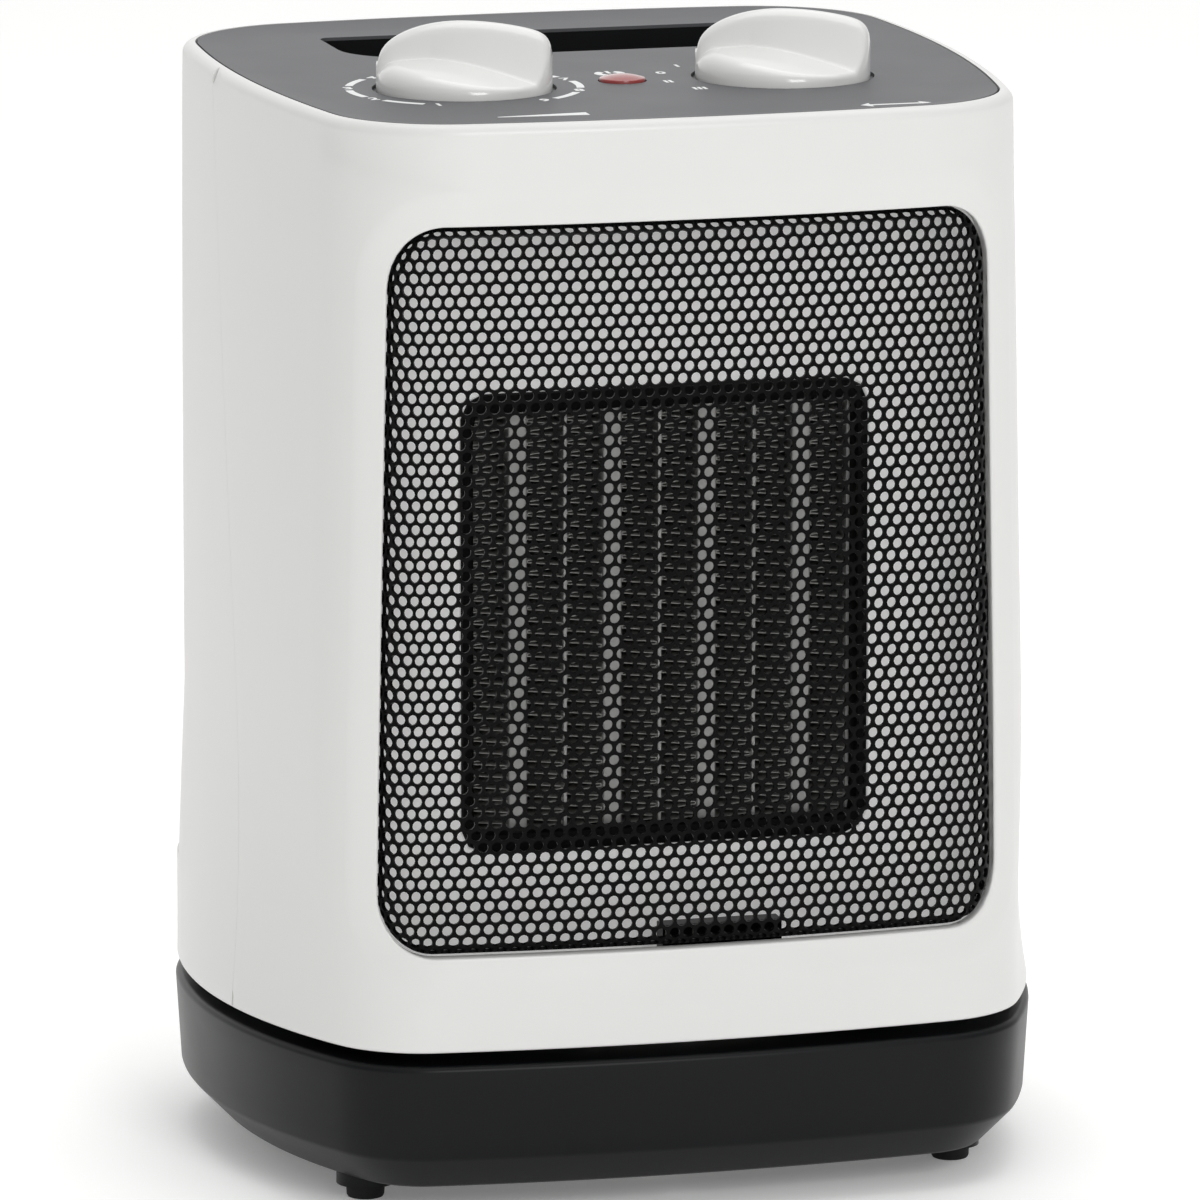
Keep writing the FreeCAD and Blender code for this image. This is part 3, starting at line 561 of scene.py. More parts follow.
# White pad-printing ink: thin, even and matt
PRINT_INK = Finish("white_pad_print_ink", "#E4E5E5", 0.5, grain_mm=0.3, height_mm=0.005, mottle=0.03,
                   mottle_mm=3.0)


def dress(piece: Thing, finish: Finish) -> Thing:
    """Gives the whole of piece one finish."""
    piece.data.materials.clear()
    piece.data.materials.append(finish.material())
    for face in piece.data.polygons:
        face.material_index = 0
    return piece


@dataclass(frozen=True)
class Fitting:
    """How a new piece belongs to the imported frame."""

    body: str
    slot: str
    nodes: tuple[str, ...] = ()


def fit(piece: Thing, finish: Finish, fitting: Fitting) -> Thing:
    """Dresses piece, makes it ride its body, and hides the nodes that it stands for."""
    dress(piece, finish)
    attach(piece, fitting.body)
    if fitting.nodes:
        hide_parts(*fitting.nodes)
    LOG.info("%s on %s: %d faces", piece.name, fitting.body, len(piece.data.polygons))
    return piece


# ------------------------------------------------------------------ casing


@dataclass(frozen=True)
class Station:
    """One stop of a spoke across the front shell: share of the way to its edge, offset, depth, and reach back."""

    share: float
    offset: float
    depth: float
    back: float = 0.0


@dataclass
class Casing:
    """The two white shells of the body."""

    wall: float = 2.8
    rim_round: float = 2.3
    foot_round: float = 0.7
    open_low: float = 59.0
    open_high: float = 219.0
    open_half_top: float = 67.8
    open_half_bottom: float = 70.9
    open_corner: float = 14.0
    dish_width: float = 8.0
    dish_depth: float = 1.0
    lip_round: float = 0.55
    flange: float = 3.0
    ledge_z: float = 59.5
    ledge_depth: float = 5.0
    ledge_round: float = 1.4
    waist_z: float = 100.0
    waist_depth: float = 15.2
    waist_end_z: float = 233.0
    across: int = 120
    up: int = 56
    fringe: int = 30
    slot_count: int = 11
    slot_z: float = 112.0
    slot_pitch: float = 8.4
    slot_height: float = 4.2
    slot_half_w: float = 44.0

    def edge_inset(self, z: float) -> float:
        """How far the rounded rim and the rounded foot lie inside at height z."""
        return (eased(z - (PLAN.rim_z - self.rim_round), self.rim_round)
                + eased(PLAN.body_z + self.foot_round - z, self.foot_round))

    def girth(self, x: float, z: float) -> float:
        """Distance along the outline from the middle of the front to that x, on the front or its corner."""
        spans = PLAN.spans(z)
        front, nose = spans[0], spans[1]
        bend = -math.acos(x / front.radius)
        if bend > front.end:
            bend = -math.acos((x - nose.x) / nose.radius)
        return PLAN.length_to(spans, bend)

    def open_half(self, z: float) -> float:
        """Half of the opening's width at height z, measured along the casing."""
        low = self.girth(self.open_half_bottom, self.open_low)
        high = self.girth(self.open_half_top, self.open_high)
        return low + (high - low) * (z - self.open_low) / (self.open_high - self.open_low)

    def opening(self, share: float, offset: float) -> tuple[float, float]:
        """Length along the casing and height of a point round the opening, offset outwards."""
        middle_z, half_h = (self.open_low + self.open_high) / 2, (self.open_high - self.open_low) / 2
        half_w = self.open_half(middle_z)
        a, b = round_loop(share, half_w + offset, half_h + offset, self.open_corner + offset)
        return a * self.open_half(middle_z + b) / half_w, middle_z + b

    def border(self, side: int, along: float) -> tuple[float, float]:
        """Length along the casing and height of a point on the front shell's outer edge."""
        low, high = PLAN.body_z, PLAN.rim_z
        z = (low, low + (high - low) * along, high, high + (low - high) * along)[side]
        spans = PLAN.spans(z)
        reach = PLAN.length_to(spans, PLAN.seam_angle(z, spans)) - 0.04
        return (-reach + 2 * reach * along, reach, reach - 2 * reach * along, -reach)[side], z

    def on_casing(self, length: float, z: float, depth: float) -> tuple[float, float, float]:
        """Point of the front of the casing, depth inside it."""
        spans = PLAN.spans(z)
        x, y = PLAN.point(spans, PLAN.angle_at(spans, abs(length)), depth)
        return math.copysign(x, length), y, z

    def dish(self, offset: float) -> float:
        """Depth of the dished border at that offset from the opening."""
        return self.dish_depth * (1 - soft_step(offset / self.dish_width))

    def spoke(self) -> list[Station]:
        """Closed path across the wall: lip, dish, face, outer edge, and back along the inside."""
        stops = [Station(0, 0, self.dish_depth + self.lip_round, self.flange),
                 Station(0, 0, self.dish_depth + self.lip_round)]
        for i in range(1, 5):
            turn = math.pi / 2 * i / 4
            stops.append(Station(0, self.lip_round * (1 - math.cos(turn)),
                                 self.dish_depth + self.lip_round * (1 - math.sin(turn))))
        for i in range(1, 11):
            offset = self.lip_round + (self.dish_width - self.lip_round) * i / 10
            stops.append(Station(0, offset, self.dish(offset)))
        for i in range(1, self.fringe + 1):
            stops.append(Station(1 - (1 - i / self.fringe) ** 1.7, self.dish_width, 0))
        for i in range(7):
            stops.append(Station(1 - i / 6, self.dish_width, self.wall))
        stops.append(Station(0, 2.0, self.wall + 1.2))
        stops.append(Station(0, 2.0, self.wall + 1.2, self.flange - 1.2))
        return stops

    def front_shell(self) -> Thing:
        """Makes the front shell as one closed skin round the opening."""
        stops = self.spoke()
        columns = 2 * (self.across + self.up)
        starts = (0, self.across, self.across + self.up, 2 * self.across + self.up, columns)

        def place(u: float, v: float) -> tuple[float, float, float]:
            step = round(u * columns) % columns
            side = max(i for i in range(4) if step >= starts[i])
            along = (step - starts[side]) / (starts[side + 1] - starts[side])
            stop = stops[round(v * len(stops)) % len(stops)]
            inner = self.opening((side + along) / 4, stop.offset)
            outer = self.border(side, along)
            length = inner[0] + (outer[0] - inner[0]) * stop.share
            z = inner[1] + (outer[1] - inner[1]) * stop.share
            depth = stop.depth if stop.depth >= self.wall else stop.depth + self.edge_inset(z)
            x, y, z = self.on_casing(length, z, depth)
            return x, y + stop.back, z

        return smooth(sheet("front_shell_skin", columns, len(stops), place), 50.0)

    def drawn_in(self, z: float) -> float:
        """How far the back lies inside the straight casing at height z."""
        if z < self.waist_z:
            away = (self.waist_z - z) / (self.waist_z - self.ledge_z)
            return self.waist_depth - (self.waist_depth - self.ledge_depth) * away ** 1.25
        away = min((z - self.waist_z) / (self.waist_end_z - self.waist_z), 1.0)
        return self.waist_depth * (1 - away) ** 1.1

    def rear_levels(self) -> list[tuple[float, float, float]]:
        """Closed path up the outside and down the inside of the rear shell: height, drawn-in depth, inset."""
        low, high, r = PLAN.body_z, PLAN.rim_z, self.ledge_round
        path = [(low, 0.0, self.foot_round)]
        path += [(low + self.foot_round * (1 - math.cos(a)), 0.0, self.foot_round * (1 - math.sin(a)))
                 for a in (math.pi / 6, math.pi / 3, math.pi / 2)]
        path += [(low + (self.ledge_z - r - low) * i / 4, 0.0, 0.0) for i in range(1, 4)]
        path += [(self.ledge_z - r + r * math.sin(a), r * (1 - math.cos(a)), 0.0)
                 for a in (i * math.pi / 12 for i in range(7))]
        step = self.drawn_in(self.ledge_z + r)
        path += [(self.ledge_z + r - r * math.sin(a), step - r * (1 - math.cos(a)), 0.0)
                 for a in (i * math.pi / 12 for i in range(6, -1, -1))]
        top = high - self.rim_round
        path += [(z, self.drawn_in(z), 0.0) for z in
                 (self.ledge_z + r + (top - self.ledge_z - r) * i / 60 for i in range(1, 61))]
        path += [(top + self.rim_round * math.sin(a), 0.0, self.rim_round * (1 - math.cos(a)))
                 for a in (i * math.pi / 12 for i in range(1, 7))]
        path += [(z, self.drawn_in(z), self.wall) for z in
                 (high - (high - self.ledge_z + self.wall) * i / 40 for i in range(40))]
        path += [(self.ledge_z - self.wall, step, self.wall), (self.ledge_z - self.wall, 0.0, self.wall),
                 (low, 0.0, self.wall)]
        return path

    def rear_shell(self) -> Thing:
        """Makes the rear shell with its waist, ledge and intake slots."""
        levels = self.rear_levels()
        parts = (14, 22, 26)
        half = sum(parts)

        def place(u: float, v: float) -> tuple[float, float, float]:
            z, drawn, inset = levels[round(v * len(levels)) % len(levels)]
            spans = PLAN.spans(z, drawn)
            step = round(u * 2 * half)
            away = step if step <= half else 2 * half - step
            seam = PLAN.seam_angle(z, spans) + 0.04 / spans[2].radius
            stops = [seam, spans[2].end, spans[3].end, spans[4].end]
            part, into = 0, away
            while part < 2 and into > parts[part]:
                into -= parts[part]
                part += 1
            angle = stops[part] + (stops[part + 1] - stops[part]) * into / parts[part]
            x, y = PLAN.point(spans, angle, inset)
            return (x if step <= half else -x), y, z

        shell = sheet("rear_shell_skin", 2 * half, len(levels), place)
        with editing(shell, "EDGE") as mesh:
            pick(mesh.edges, lambda e: e.is_boundary)
            bpy.ops.mesh.edge_face_add()
            bpy.ops.mesh.select_all(action="SELECT")
            bpy.ops.mesh.normals_make_consistent(inside=False)
        tool = block("slot_tool", (-self.slot_half_w, 40.0, self.slot_z),
                     (self.slot_half_w, 100.0, self.slot_z + self.slot_height))
        with editing(tool, "EDGE") as mesh:
            pick(mesh.edges, lambda e: abs(e.verts[0].co.y - e.verts[1].co.y) > 1 * MM)
            bpy.ops.mesh.bevel(offset=2.0 * MM, segments=6)
        shape_with(tool, "ARRAY", count=self.slot_count, use_relative_offset=False, use_constant_offset=True,
                   constant_offset_displace=(0, 0, self.slot_pitch * MM))
        return smooth(cut(shell, tool), 40.0)

    def build(self) -> None:
        """Makes both shells and puts them on the body."""
        fit(self.front_shell(), WHITE_ABS, Fitting("head", "white_shell", ("front_shell",)))
        fit(self.rear_shell(), WHITE_ABS, Fitting("head", "white_shell", ("rear_shell",)))


# ------------------------------------------------------------------ warm-air side


@dataclass
class Grille:
    """Perforated steel pan over the warm-air opening."""

    casing: Casing
    pitch: float = 3.0
    hole: float = 2.32
    depth: float = 2.2
    sheet_t: float = 0.8
    gap: float = 0.4
    roll: float = 2.8
    skirt: float = 1.6
    sides: int = 12

    def tile(self) -> Thing:
        """Makes one six-sided tile of sheet with its hole."""
        start_fresh()
        row = self.pitch * math.sqrt(3) / 2
        bpy.ops.mesh.primitive_circle_add(vertices=6, radius=row / 1.5 * MM, fill_type="NOTHING")
        outer = claim("pan_tile")
        bpy.ops.object.select_all(action="DESELECT")
        bpy.ops.mesh.primitive_circle_add(vertices=self.sides, radius=self.hole / 2 * MM, fill_type="NOTHING")
        inner = claim("pan_hole")
        tile = join("pan_tile", [outer, inner])
        with editing(tile, "EDGE"):
            bpy.ops.mesh.select_all(action="SELECT")
            bpy.ops.mesh.bridge_edge_loops()
        return tile

    def blank(self) -> Thing:
        """Makes the flat perforated blank, its first column and row at the lower left."""
        row = self.pitch * math.sqrt(3) / 2
        pan = self.tile()
        for count, step in ((2, (self.pitch / 2, row, 0)), (54, (self.pitch, 0, 0)), (34, (0, 2 * row, 0))):
            shape_with(pan, "ARRAY", count=count, use_relative_offset=False, use_constant_offset=True,
                       constant_offset_displace=[s * MM for s in step], use_merge_vertices=True,
                       merge_threshold=0.01 * MM)
        return pan

    def inside(self, a: float, b: float) -> tuple[float, float, float]:
        """How far a flat point lies outside the contour where the roll starts, and its direction there."""
        shell, inset = self.casing, self.gap + self.roll
        half_h = (shell.open_high - shell.open_low) / 2 - inset
        half_w = shell.open_half((shell.open_low + shell.open_high) / 2) - inset
        corner = shell.open_corner - inset
        over_a, over_b = abs(a) - (half_w - corner), abs(b) - (half_h - corner)
        if over_a > 0 and over_b > 0:
            far = math.hypot(over_a, over_b)
            return far - corner, math.copysign(over_a / far, a), math.copysign(over_b / far, b)
        if over_a > over_b:
            return over_a - corner, math.copysign(1, a), 0.0
        return over_b - corner, 0.0, math.copysign(1, b)

    def formed(self, a: float, b: float) -> tuple[float, float, float]:
        """Where a point of the flat blank goes when the pan's edge is rolled back."""
        shell = self.casing
        middle_z = (shell.open_low + shell.open_high) / 2
        over, da, db = self.inside(a, b)
        back = 0.0
        if over > 0:
            turn = min(over / self.roll, math.pi / 2)
            out = self.roll * math.sin(turn)
            back = self.roll * (1 - math.cos(turn)) + max(over - self.roll * math.pi / 2, 0.0)
            a, b = a + da * (out - over), b + db * (out - over)
        z = middle_z + b
        length = a * shell.open_half(z) / shell.open_half(middle_z)
        x, y, z = shell.on_casing(length, z, self.depth)
        radius = PLAN.bow_radius(PLAN.front_bow)
        drum_y = radius - PLAN.half_depth - math.sqrt((radius - self.depth) ** 2 - x * x)
        share = soft_step((abs(x) - 40.0) / 30.0)
        return x, drum_y * (1 - share) + max(y - 1.4, drum_y) * share + back, z

    def pan(self) -> Thing:
        """Makes the pan: blank, trimmed, formed and given its thickness."""
        shell = self.casing
        row = self.pitch * math.sqrt(3) / 2
        pan = self.blank()
        half_w = 27 * self.pitch - self.pitch / 4
        half_h = 34 * row - row / 2
        reach = self.roll * math.pi / 2 + self.skirt
        for vertex in pan.data.vertices:
            vertex.co.x -= half_w * MM
            vertex.co.y -= half_h * MM

        def outside(face: bmesh.types.BMFace) -> bool:
            middle = face.calc_center_median() / MM
            line = round((middle.y + half_h) / row)
            shift = half_w - (self.pitch / 2 if line % 2 else 0.0)
            x = round((middle.x + shift) / self.pitch) * self.pitch - shift
            return self.inside(x, line * row - half_h)[0] > reach

        with editing(pan, "FACE") as mesh:
            pick(mesh.faces, outside)
            bpy.ops.mesh.delete(type="FACE")
        for vertex in pan.data.vertices:
            vertex.co = Vector(self.formed(vertex.co.x / MM, vertex.co.y / MM)) * MM
        tidy(pan)
        front = max(pan.data.polygons, key=lambda face: -face.center.y)
        if front.normal.y > 0:
            with editing(pan, "FACE"):
                bpy.ops.mesh.select_all(action="SELECT")
                bpy.ops.mesh.flip_normals()
        shape_with(pan, "SOLIDIFY", thickness=self.sheet_t * MM, offset=-1.0)
        pan.name = "perforated_pan"
        return smooth(pan, 30.0)

    def build(self) -> None:
        """Makes the pan and puts it on the body."""
        fit(self.pan(), BLACK_ENAMEL, Fitting("head", "black_steel", ("front_grille",)))


@dataclass
class Element:
    """Heating element: bright plate, black frame, bars, contact strips and folded fins."""

    air_z: float = 127.0
    plate_y: float = -54.5
    plate_t: float = 0.8
    plate_half_w: float = 74.0
    plate_low: float = 50.0
    plate_high: float = 229.0
    plate_rim: float = 4.5
    frame_half_w: float = 45.9
    frame_half_h: float = 50.8
    frame_round: float = 5.6
    frame_side: float = 2.6
    frame_end: float = 4.2
    frame_back: float = -34.0
    front_y: float = -50.2
    depth: float = 14.0
    half_h: float = 48.0
    pitch: float = 21.4
    bar_w: float = 4.3
    strip_t: float = 0.8
    fold: float = 1.3
    fin_t: float = 0.26

    def ring(self, name: str, stops: Sequence[tuple[float, float, float, float]], columns: int = 96) -> Thing:
        """Makes a frame: each stop is half width, half height, corner radius and y, round a closed section."""
        def place(u: float, v: float) -> tuple[float, float, float]:
            half_w, half_h, corner, y = stops[round(v * len(stops)) % len(stops)]
            a, b = round_loop(u % 1.0, half_w, half_h, corner)
            return a, y, self.air_z + b
        return sheet(name, columns, len(stops), place)

    def plate(self) -> Thing:
        """Makes the bright plate with its window, hemmed at both edges."""
        middle = (self.plate_low + self.plate_high) / 2 - self.air_z
        half_h = (self.plate_high - self.plate_low) / 2
        y0, y1, hem, t, r = self.plate_y, self.plate_y + self.plate_t, 0.3, self.plate_t, 2.4
        front = y0 - self.plate_rim
        stops = [(0, hem, y0), (0, 0, y0 + hem), (0, 0, y1)]
        stops += [(1, r, y1), (1, r * 0.3, y1 - r * 0.3), (1, 0, y1 - r)]
        stops += [(1, 0, front), (1, t, front), (1, t, y0 - r), (1, t + r * 0.3, y0 - r * 0.3), (1, t + r, y0)]

        def place(u: float, v: float) -> tuple[float, float, float]:
            outer, inset, y = stops[round(v * len(stops)) % len(stops)]
            if outer:
                a, b = round_loop(u % 1.0, self.plate_half_w - inset, half_h - inset, 16.0 - inset)
                return a, y, self.air_z + middle + b
            a, b = round_loop(u % 1.0, self.frame_half_w + 0.1 + inset, self.frame_half_h + 0.1 + inset,
                              self.frame_round)
            return a, y, self.air_z + b
        return smooth(sheet("bright_plate_sheet", 96, len(stops), place), 30.0)

    def frame(self) -> Thing:
        """Makes the black frame, with eased edges and a step for the element."""
        w, h, r = self.frame_half_w, self.frame_half_h, self.frame_round
        mouth_w, mouth_h = w - self.frame_side, h - self.frame_end
        y0, e = self.plate_y - 0.9, 0.6
        stops = [(w, h, r, self.frame_back), (w, h, r, y0 + e), (w - 0.18, h - 0.18, r, y0 + 0.18),
                 (w - e, h - e, r, y0),
                 (mouth_w + e, mouth_h + e, 2.2, y0), (mouth_w + 0.18, mouth_h + 0.18, 2.0, y0 + 0.18),
                 (mouth_w, mouth_h, 1.9, y0 + e), (mouth_w, mouth_h, 1.8, self.front_y - 0.2),
                 (mouth_w, h - 1.5, 1.2, self.front_y - 0.2), (mouth_w, h - 1.5, 1.2, self.frame_back)]
        return smooth(self.ring("element_frame_moulding", stops), 40.0)

    def layer_x(self, layer: int) -> float:
        """Middle of a layer, counted in half pitches from the left edge strip."""
        return (layer - 4) * self.pitch / 2

    def row_of(self, name: str, width: float, layers: Sequence[int], ease_w: float) -> Thing:
        """Makes one upright bar and repeats it at the layers."""
        x = self.layer_x(layers[0])
        bar = block(name, (x - width / 2, self.front_y, self.air_z - self.half_h),
                    (x + width / 2, self.front_y + self.depth, self.air_z + self.half_h))
        ease(bar, ease_w, 3)
        twins = [copy_of(bar, name, (self.layer_x(i) - x, 0, 0)) for i in layers[1:]]
        return smooth(join(name, [bar, *twins]), 40.0, weighted=True)

    def fins(self) -> Thing:
        """Makes one folded ribbon and repeats it on both sides of every bar."""
        wide = self.pitch / 2 - self.strip_t / 2 - self.bar_w / 2 - 0.1
        passes = int((2 * self.half_h - 2) / self.fold)
        low = self.air_z - self.half_h + 1
        columns = 2 * passes - 1

        def place(u: float, v: float) -> tuple[float, float, float]:
            step = round(u * columns)
            turn, end = divmod(step, 2)
            right = (turn + end) % 2
            z = low + self.fold * (turn + (0.62 if end else 0.0))
            return (right - 0.5) * (wide - self.fin_t), self.front_y + 0.6 + v * (self.depth - 1.4), z

        ribbon = sheet("folded_fins", columns, 1, place)
        shape_with(ribbon, "SOLIDIFY", thickness=self.fin_t * MM, offset=0.0)
        away = self.bar_w / 2 + 0.05 + wide / 2
        copies = [copy_of(ribbon, "folded_fins", (self.layer_x(i) + side * away, 0, 0))
                  for i in (1, 3, 5, 7) for side in (-1, 1)]
        bpy.data.objects.remove(ribbon)
        return smooth(join("folded_fins", copies), 20.0)

    def build(self) -> None:
        """Makes the element and puts it on the body."""
        fit(self.plate(), ZINC_PLATE, Fitting("head", "bright_plate", ("reflector_plate",)))
        fit(self.frame(), PHENOLIC, Fitting("head", "black_resin", ("heater_frame",)))
        fit(self.row_of("ceramic_bar_cases", self.bar_w, (1, 3, 5, 7), 0.5), ALUMINIUM,
            Fitting("head", "element_aluminium", ("ptc_bars",)))
        fit(self.row_of("contact_strip_set", self.strip_t, (0, 2, 4, 6, 8), 0.15), ALUMINIUM,
            Fitting("head", "element_aluminium", ("contact_strips",)))
        fit(self.fins(), FIN_STOCK, Fitting("head", "element_aluminium", ("fin_packs",)))


# ------------------------------------------------------------------ controls


@dataclass
class TopPanel:
    """Grey panel with its recesses, the hand recess below it and the lens; it holds the places that the printed
    dials follow.
    """

    z: float = 239.9
    thick: float = 2.9
    edge_rise: float = 1.1
    edge_w: float = 9.0
    inset: float = 3.3
    knob_x: float = 36.2
    knob_y: float = -20.5
    recess_r: float = 20.2
    recess: float = 0.9
    slot_half_w: float = 49.0
    slot_front: float = 26.5
    slot_rear: float = 61.5
    slot_round: float = 16.0
    slot_rear_round: float = 2.5
    well_z: float = 212.0
    tub_wall: float = 2.0
    neck_wall: float = 0.6
    neck_play: float = 0.15
    lamp_y: float = -19.0
    lens_r: float = 5.1
    points: int = 160

    def slot_prism(self, name: str, low: float, high: float, grow: float = 0.0) -> Thing:
        """Makes an upright prism with the outline of the hand slot, grown outwards by grow."""
        tool = block(name, (-self.slot_half_w - grow, self.slot_front - grow, low),
                     (self.slot_half_w + grow, self.slot_rear + grow, high))
        middle = (self.slot_front + self.slot_rear) / 2 * MM
        for rear, radius in ((False, self.slot_round), (True, self.slot_rear_round)):
            with editing(tool, "EDGE") as mesh:
                pick(mesh.edges, lambda e: self.upright(e) and (e.verts[0].co.y > middle) == rear)
                bpy.ops.mesh.bevel(offset=(radius + grow) * MM, segments=12)
        tidy(tool)
        return tool

    def upright(self, edge: bmesh.types.BMEdge) -> bool:
        """Whether an edge runs up and down."""
        return abs(edge.verts[0].co.z - edge.verts[1].co.z) > 1 * MM

    def panel(self) -> Thing:
        """Makes the panel: outline, raised edge, then the slot and the round recesses."""
        start_fresh()
        bpy.ops.mesh.primitive_circle_add(vertices=self.points, radius=1.0, fill_type="NGON")
        panel = claim("top_panel_moulding")
        for i, vertex in enumerate(panel.data.vertices):
            x, y, z = PLAN.loop(i / self.points, PLAN.rim_z, self.inset)
            vertex.co = Vector((x, y, self.z + self.edge_rise)) * MM
        with editing(panel, "FACE"):
            bpy.ops.mesh.select_all(action="SELECT")
            down = (0, 0, -(self.thick + self.edge_rise) * MM)
            bpy.ops.mesh.extrude_region_move(TRANSFORM_OT_translate={"value": down})
            bpy.ops.mesh.select_all(action="SELECT")
            bpy.ops.mesh.normals_make_consistent(inside=False)
        with editing(panel, "FACE") as mesh:
            pick(mesh.faces, lambda f: f.normal.z > 0.9)
            bpy.ops.mesh.inset(thickness=self.edge_w * MM, depth=-self.edge_rise * MM, use_even_offset=True)
        tools = [self.slot_prism("slot_tool", 220.0, 250.0),
                 drum("lens_tool", (0, self.lamp_y, self.z), self.lens_r + 0.25, 20.0)]
        for x in (-self.knob_x, self.knob_x):
            middle = (x, self.knob_y, self.z + 5.0 - self.recess)
            tools.append(drum("recess_tool", middle, self.recess_r, 10.0, sides=128))
            tools.append(drum("shaft_tool", (x, self.knob_y, self.z), 4.0, 20.0, sides=48))
        cut(panel, *tools)
        ease(panel, 0.35, 3, 50.0)
        return smooth(panel, 35.0, weighted=True)

    def well(self) -> Thing:
        """Makes the tub below the hand slot: a flange under the panel, a neck up through it, a rounded floor."""
        flange, lip = self.z - self.thick - 0.1, self.z - 0.7
        tub = self.slot_prism("hand_recess_tub", self.well_z, flange, self.tub_wall)
        neck = self.slot_prism("hand_recess_neck", flange - 1.0, lip, -self.neck_play)
        shape_with(tub, "BOOLEAN", operation="UNION", solver="EXACT", object=neck)
        bpy.data.objects.remove(neck)
        hollow = self.slot_prism("hand_recess_hollow", self.well_z + self.tub_wall, self.z + 5.0,
                                 -self.neck_play - self.neck_wall)
        ease(hollow, 1.2, 4, 60.0)
        return smooth(cut(tub, hollow), 35.0)

    def lens(self) -> Thing:
        """Makes the lens: a low dome on a short barrel."""
        section = [(0.0, -2.6), (self.lens_r, -2.6), (self.lens_r, 0.35)]
        section += [((self.lens_r - 0.35) + 0.35 * math.cos(a), 0.35 + 0.35 * math.sin(a))
                    for a in (0.5, 1.0, 1.5)]
        section += [((self.lens_r - 0.45) * (1 - i / 8), 0.72 + 0.75 * (1 - (1 - i / 8) ** 2))
                    for i in range(1, 9)]

        def place(u: float, v: float) -> tuple[float, float, float]:
            r, z = section[round(v * (len(section) - 1))]
            return r * math.cos(2 * math.pi * u), self.lamp_y + r * math.sin(2 * math.pi * u), self.z + z
        return smooth(sheet("pilot_lens_dome", 48, len(section) - 1, place), 40.0)

    def build(self) -> None:
        """Makes the panel's pieces and puts them on the body."""
        fit(self.panel(), GREY_ABS, Fitting("head", "grey_panel", ("top_panel",)))
        fit(self.well(), BLACK_ABS, Fitting("head", "black_base", ("handle_well",)))
        fit(self.lens(), RED_LENS, Fitting("head", "red_lens", ("pilot_lens",)))


@dataclass
class Knob:
    """Round knob with a domed skirt and a scooped grip across it."""

    panel: TopPanel
    radius: float = 19.3
    low: float = 239.4
    side_z: float = 241.9
    dome: float = 3.6
    top: float = 254.7
    grip_deg: float = 158.0
    edge_round: float = 0.9
    rise: float = 3.2
    ridge: float = 2.6
    foot: float = 6.3
    skew: float = 0.22
    least_flank: float = 2.2
    cells: int = 120

    def skirt_z(self, a: float, b: float) -> float:
        """Height of the domed skirt."""
        r = math.hypot(a, b) / self.radius
        rise = self.rise * soft_step((a / self.radius + 1) / 2) ** 1.5
        edge = self.edge_round + rise
        return self.side_z + rise + self.dome * (1 - r ** 1.7) - eased((r - 1) * self.radius + edge, edge)

    def crest_z(self, a: float) -> float:
        """Height of the grip's crest along the grip: a long round nose, and a steep heel."""
        if a > 0:
            return self.top - 9.2 * (1 - math.sqrt(max(1 - (a / 18.9) ** 2, 0.0)))
        drop = 0.0073 * a * a
        end = max(1 - (-a / (self.radius + 0.05)) ** 14, 0.0) ** 0.2
        return self.side_z + (self.top - drop - self.side_z) * end

    def grip_z(self, a: float, b: float) -> float:
        """Height of the grip: a rounded top between two hollowed flanks."""
        crest, side = self.crest_z(a), abs(b)
        foot = self.foot - math.copysign(self.skew, b) * a
        shoulder = crest - 1.5 * (min(side, self.ridge) / self.ridge) ** 2
        if side <= self.ridge:
            return shoulder
        ground = self.skirt_z(a, b) - 0.8
        share = min((side - self.ridge) / max(foot - self.ridge, self.least_flank), 1.0)
        return ground + (shoulder - ground) * (1 - share) ** 1.55

    def surface_z(self, a: float, b: float) -> float:
        """Height of the knob, the grip blended into the skirt."""
        skirt, grip, soft = self.skirt_z(a, b), self.grip_z(a, b), 0.35
        gap = max(soft - abs(skirt - grip), 0.0) / soft
        return max(skirt, grip) + gap * gap * soft / 4

    def make(self, name: str, x: float) -> Thing:
        """Makes a knob over that x: the top by its heights, then the side and the underside."""
        turn = math.radians(self.grip_deg)

        def place(u: float, v: float) -> tuple[float, float, float]:
            p, q = 2 * u - 1, 2 * v - 1
            a = self.radius * p * math.sqrt(1 - q * q / 2)
            b = self.radius * q * math.sqrt(1 - p * p / 2)
            z = self.surface_z(a, b)
            return (x + a * math.cos(turn) - b * math.sin(turn),
                    self.panel.knob_y + a * math.sin(turn) + b * math.cos(turn), z)

        knob = sheet(name, self.cells, self.cells, place)
        with editing(knob, "EDGE") as mesh:
            pick(mesh.edges, lambda e: e.is_boundary)
            bpy.ops.mesh.extrude_region_move(TRANSFORM_OT_translate={"value": (0, 0, -1.0 * MM)})
            for vertex in mesh.verts:
                if vertex.select:
                    vertex.co.z = self.low * MM
            bpy.ops.mesh.edge_face_add()
            bpy.ops.mesh.select_all(action="SELECT")
            bpy.ops.mesh.normals_make_consistent(inside=False)
        return smooth(knob, 60.0)

    def build(self) -> None:
        """Makes both knobs and puts them on their shafts."""
        for name, x, body, node in (
                ("thermostat_knob_cap", -self.panel.knob_x, "thermostat_dial", "thermostat_knob"),
                ("mode_knob_cap", self.panel.knob_x, "mode_dial", "mode_knob")):
            fit(self.make(name, x), KNOB_ABS, Fitting(body, "white_knob", (node,)))


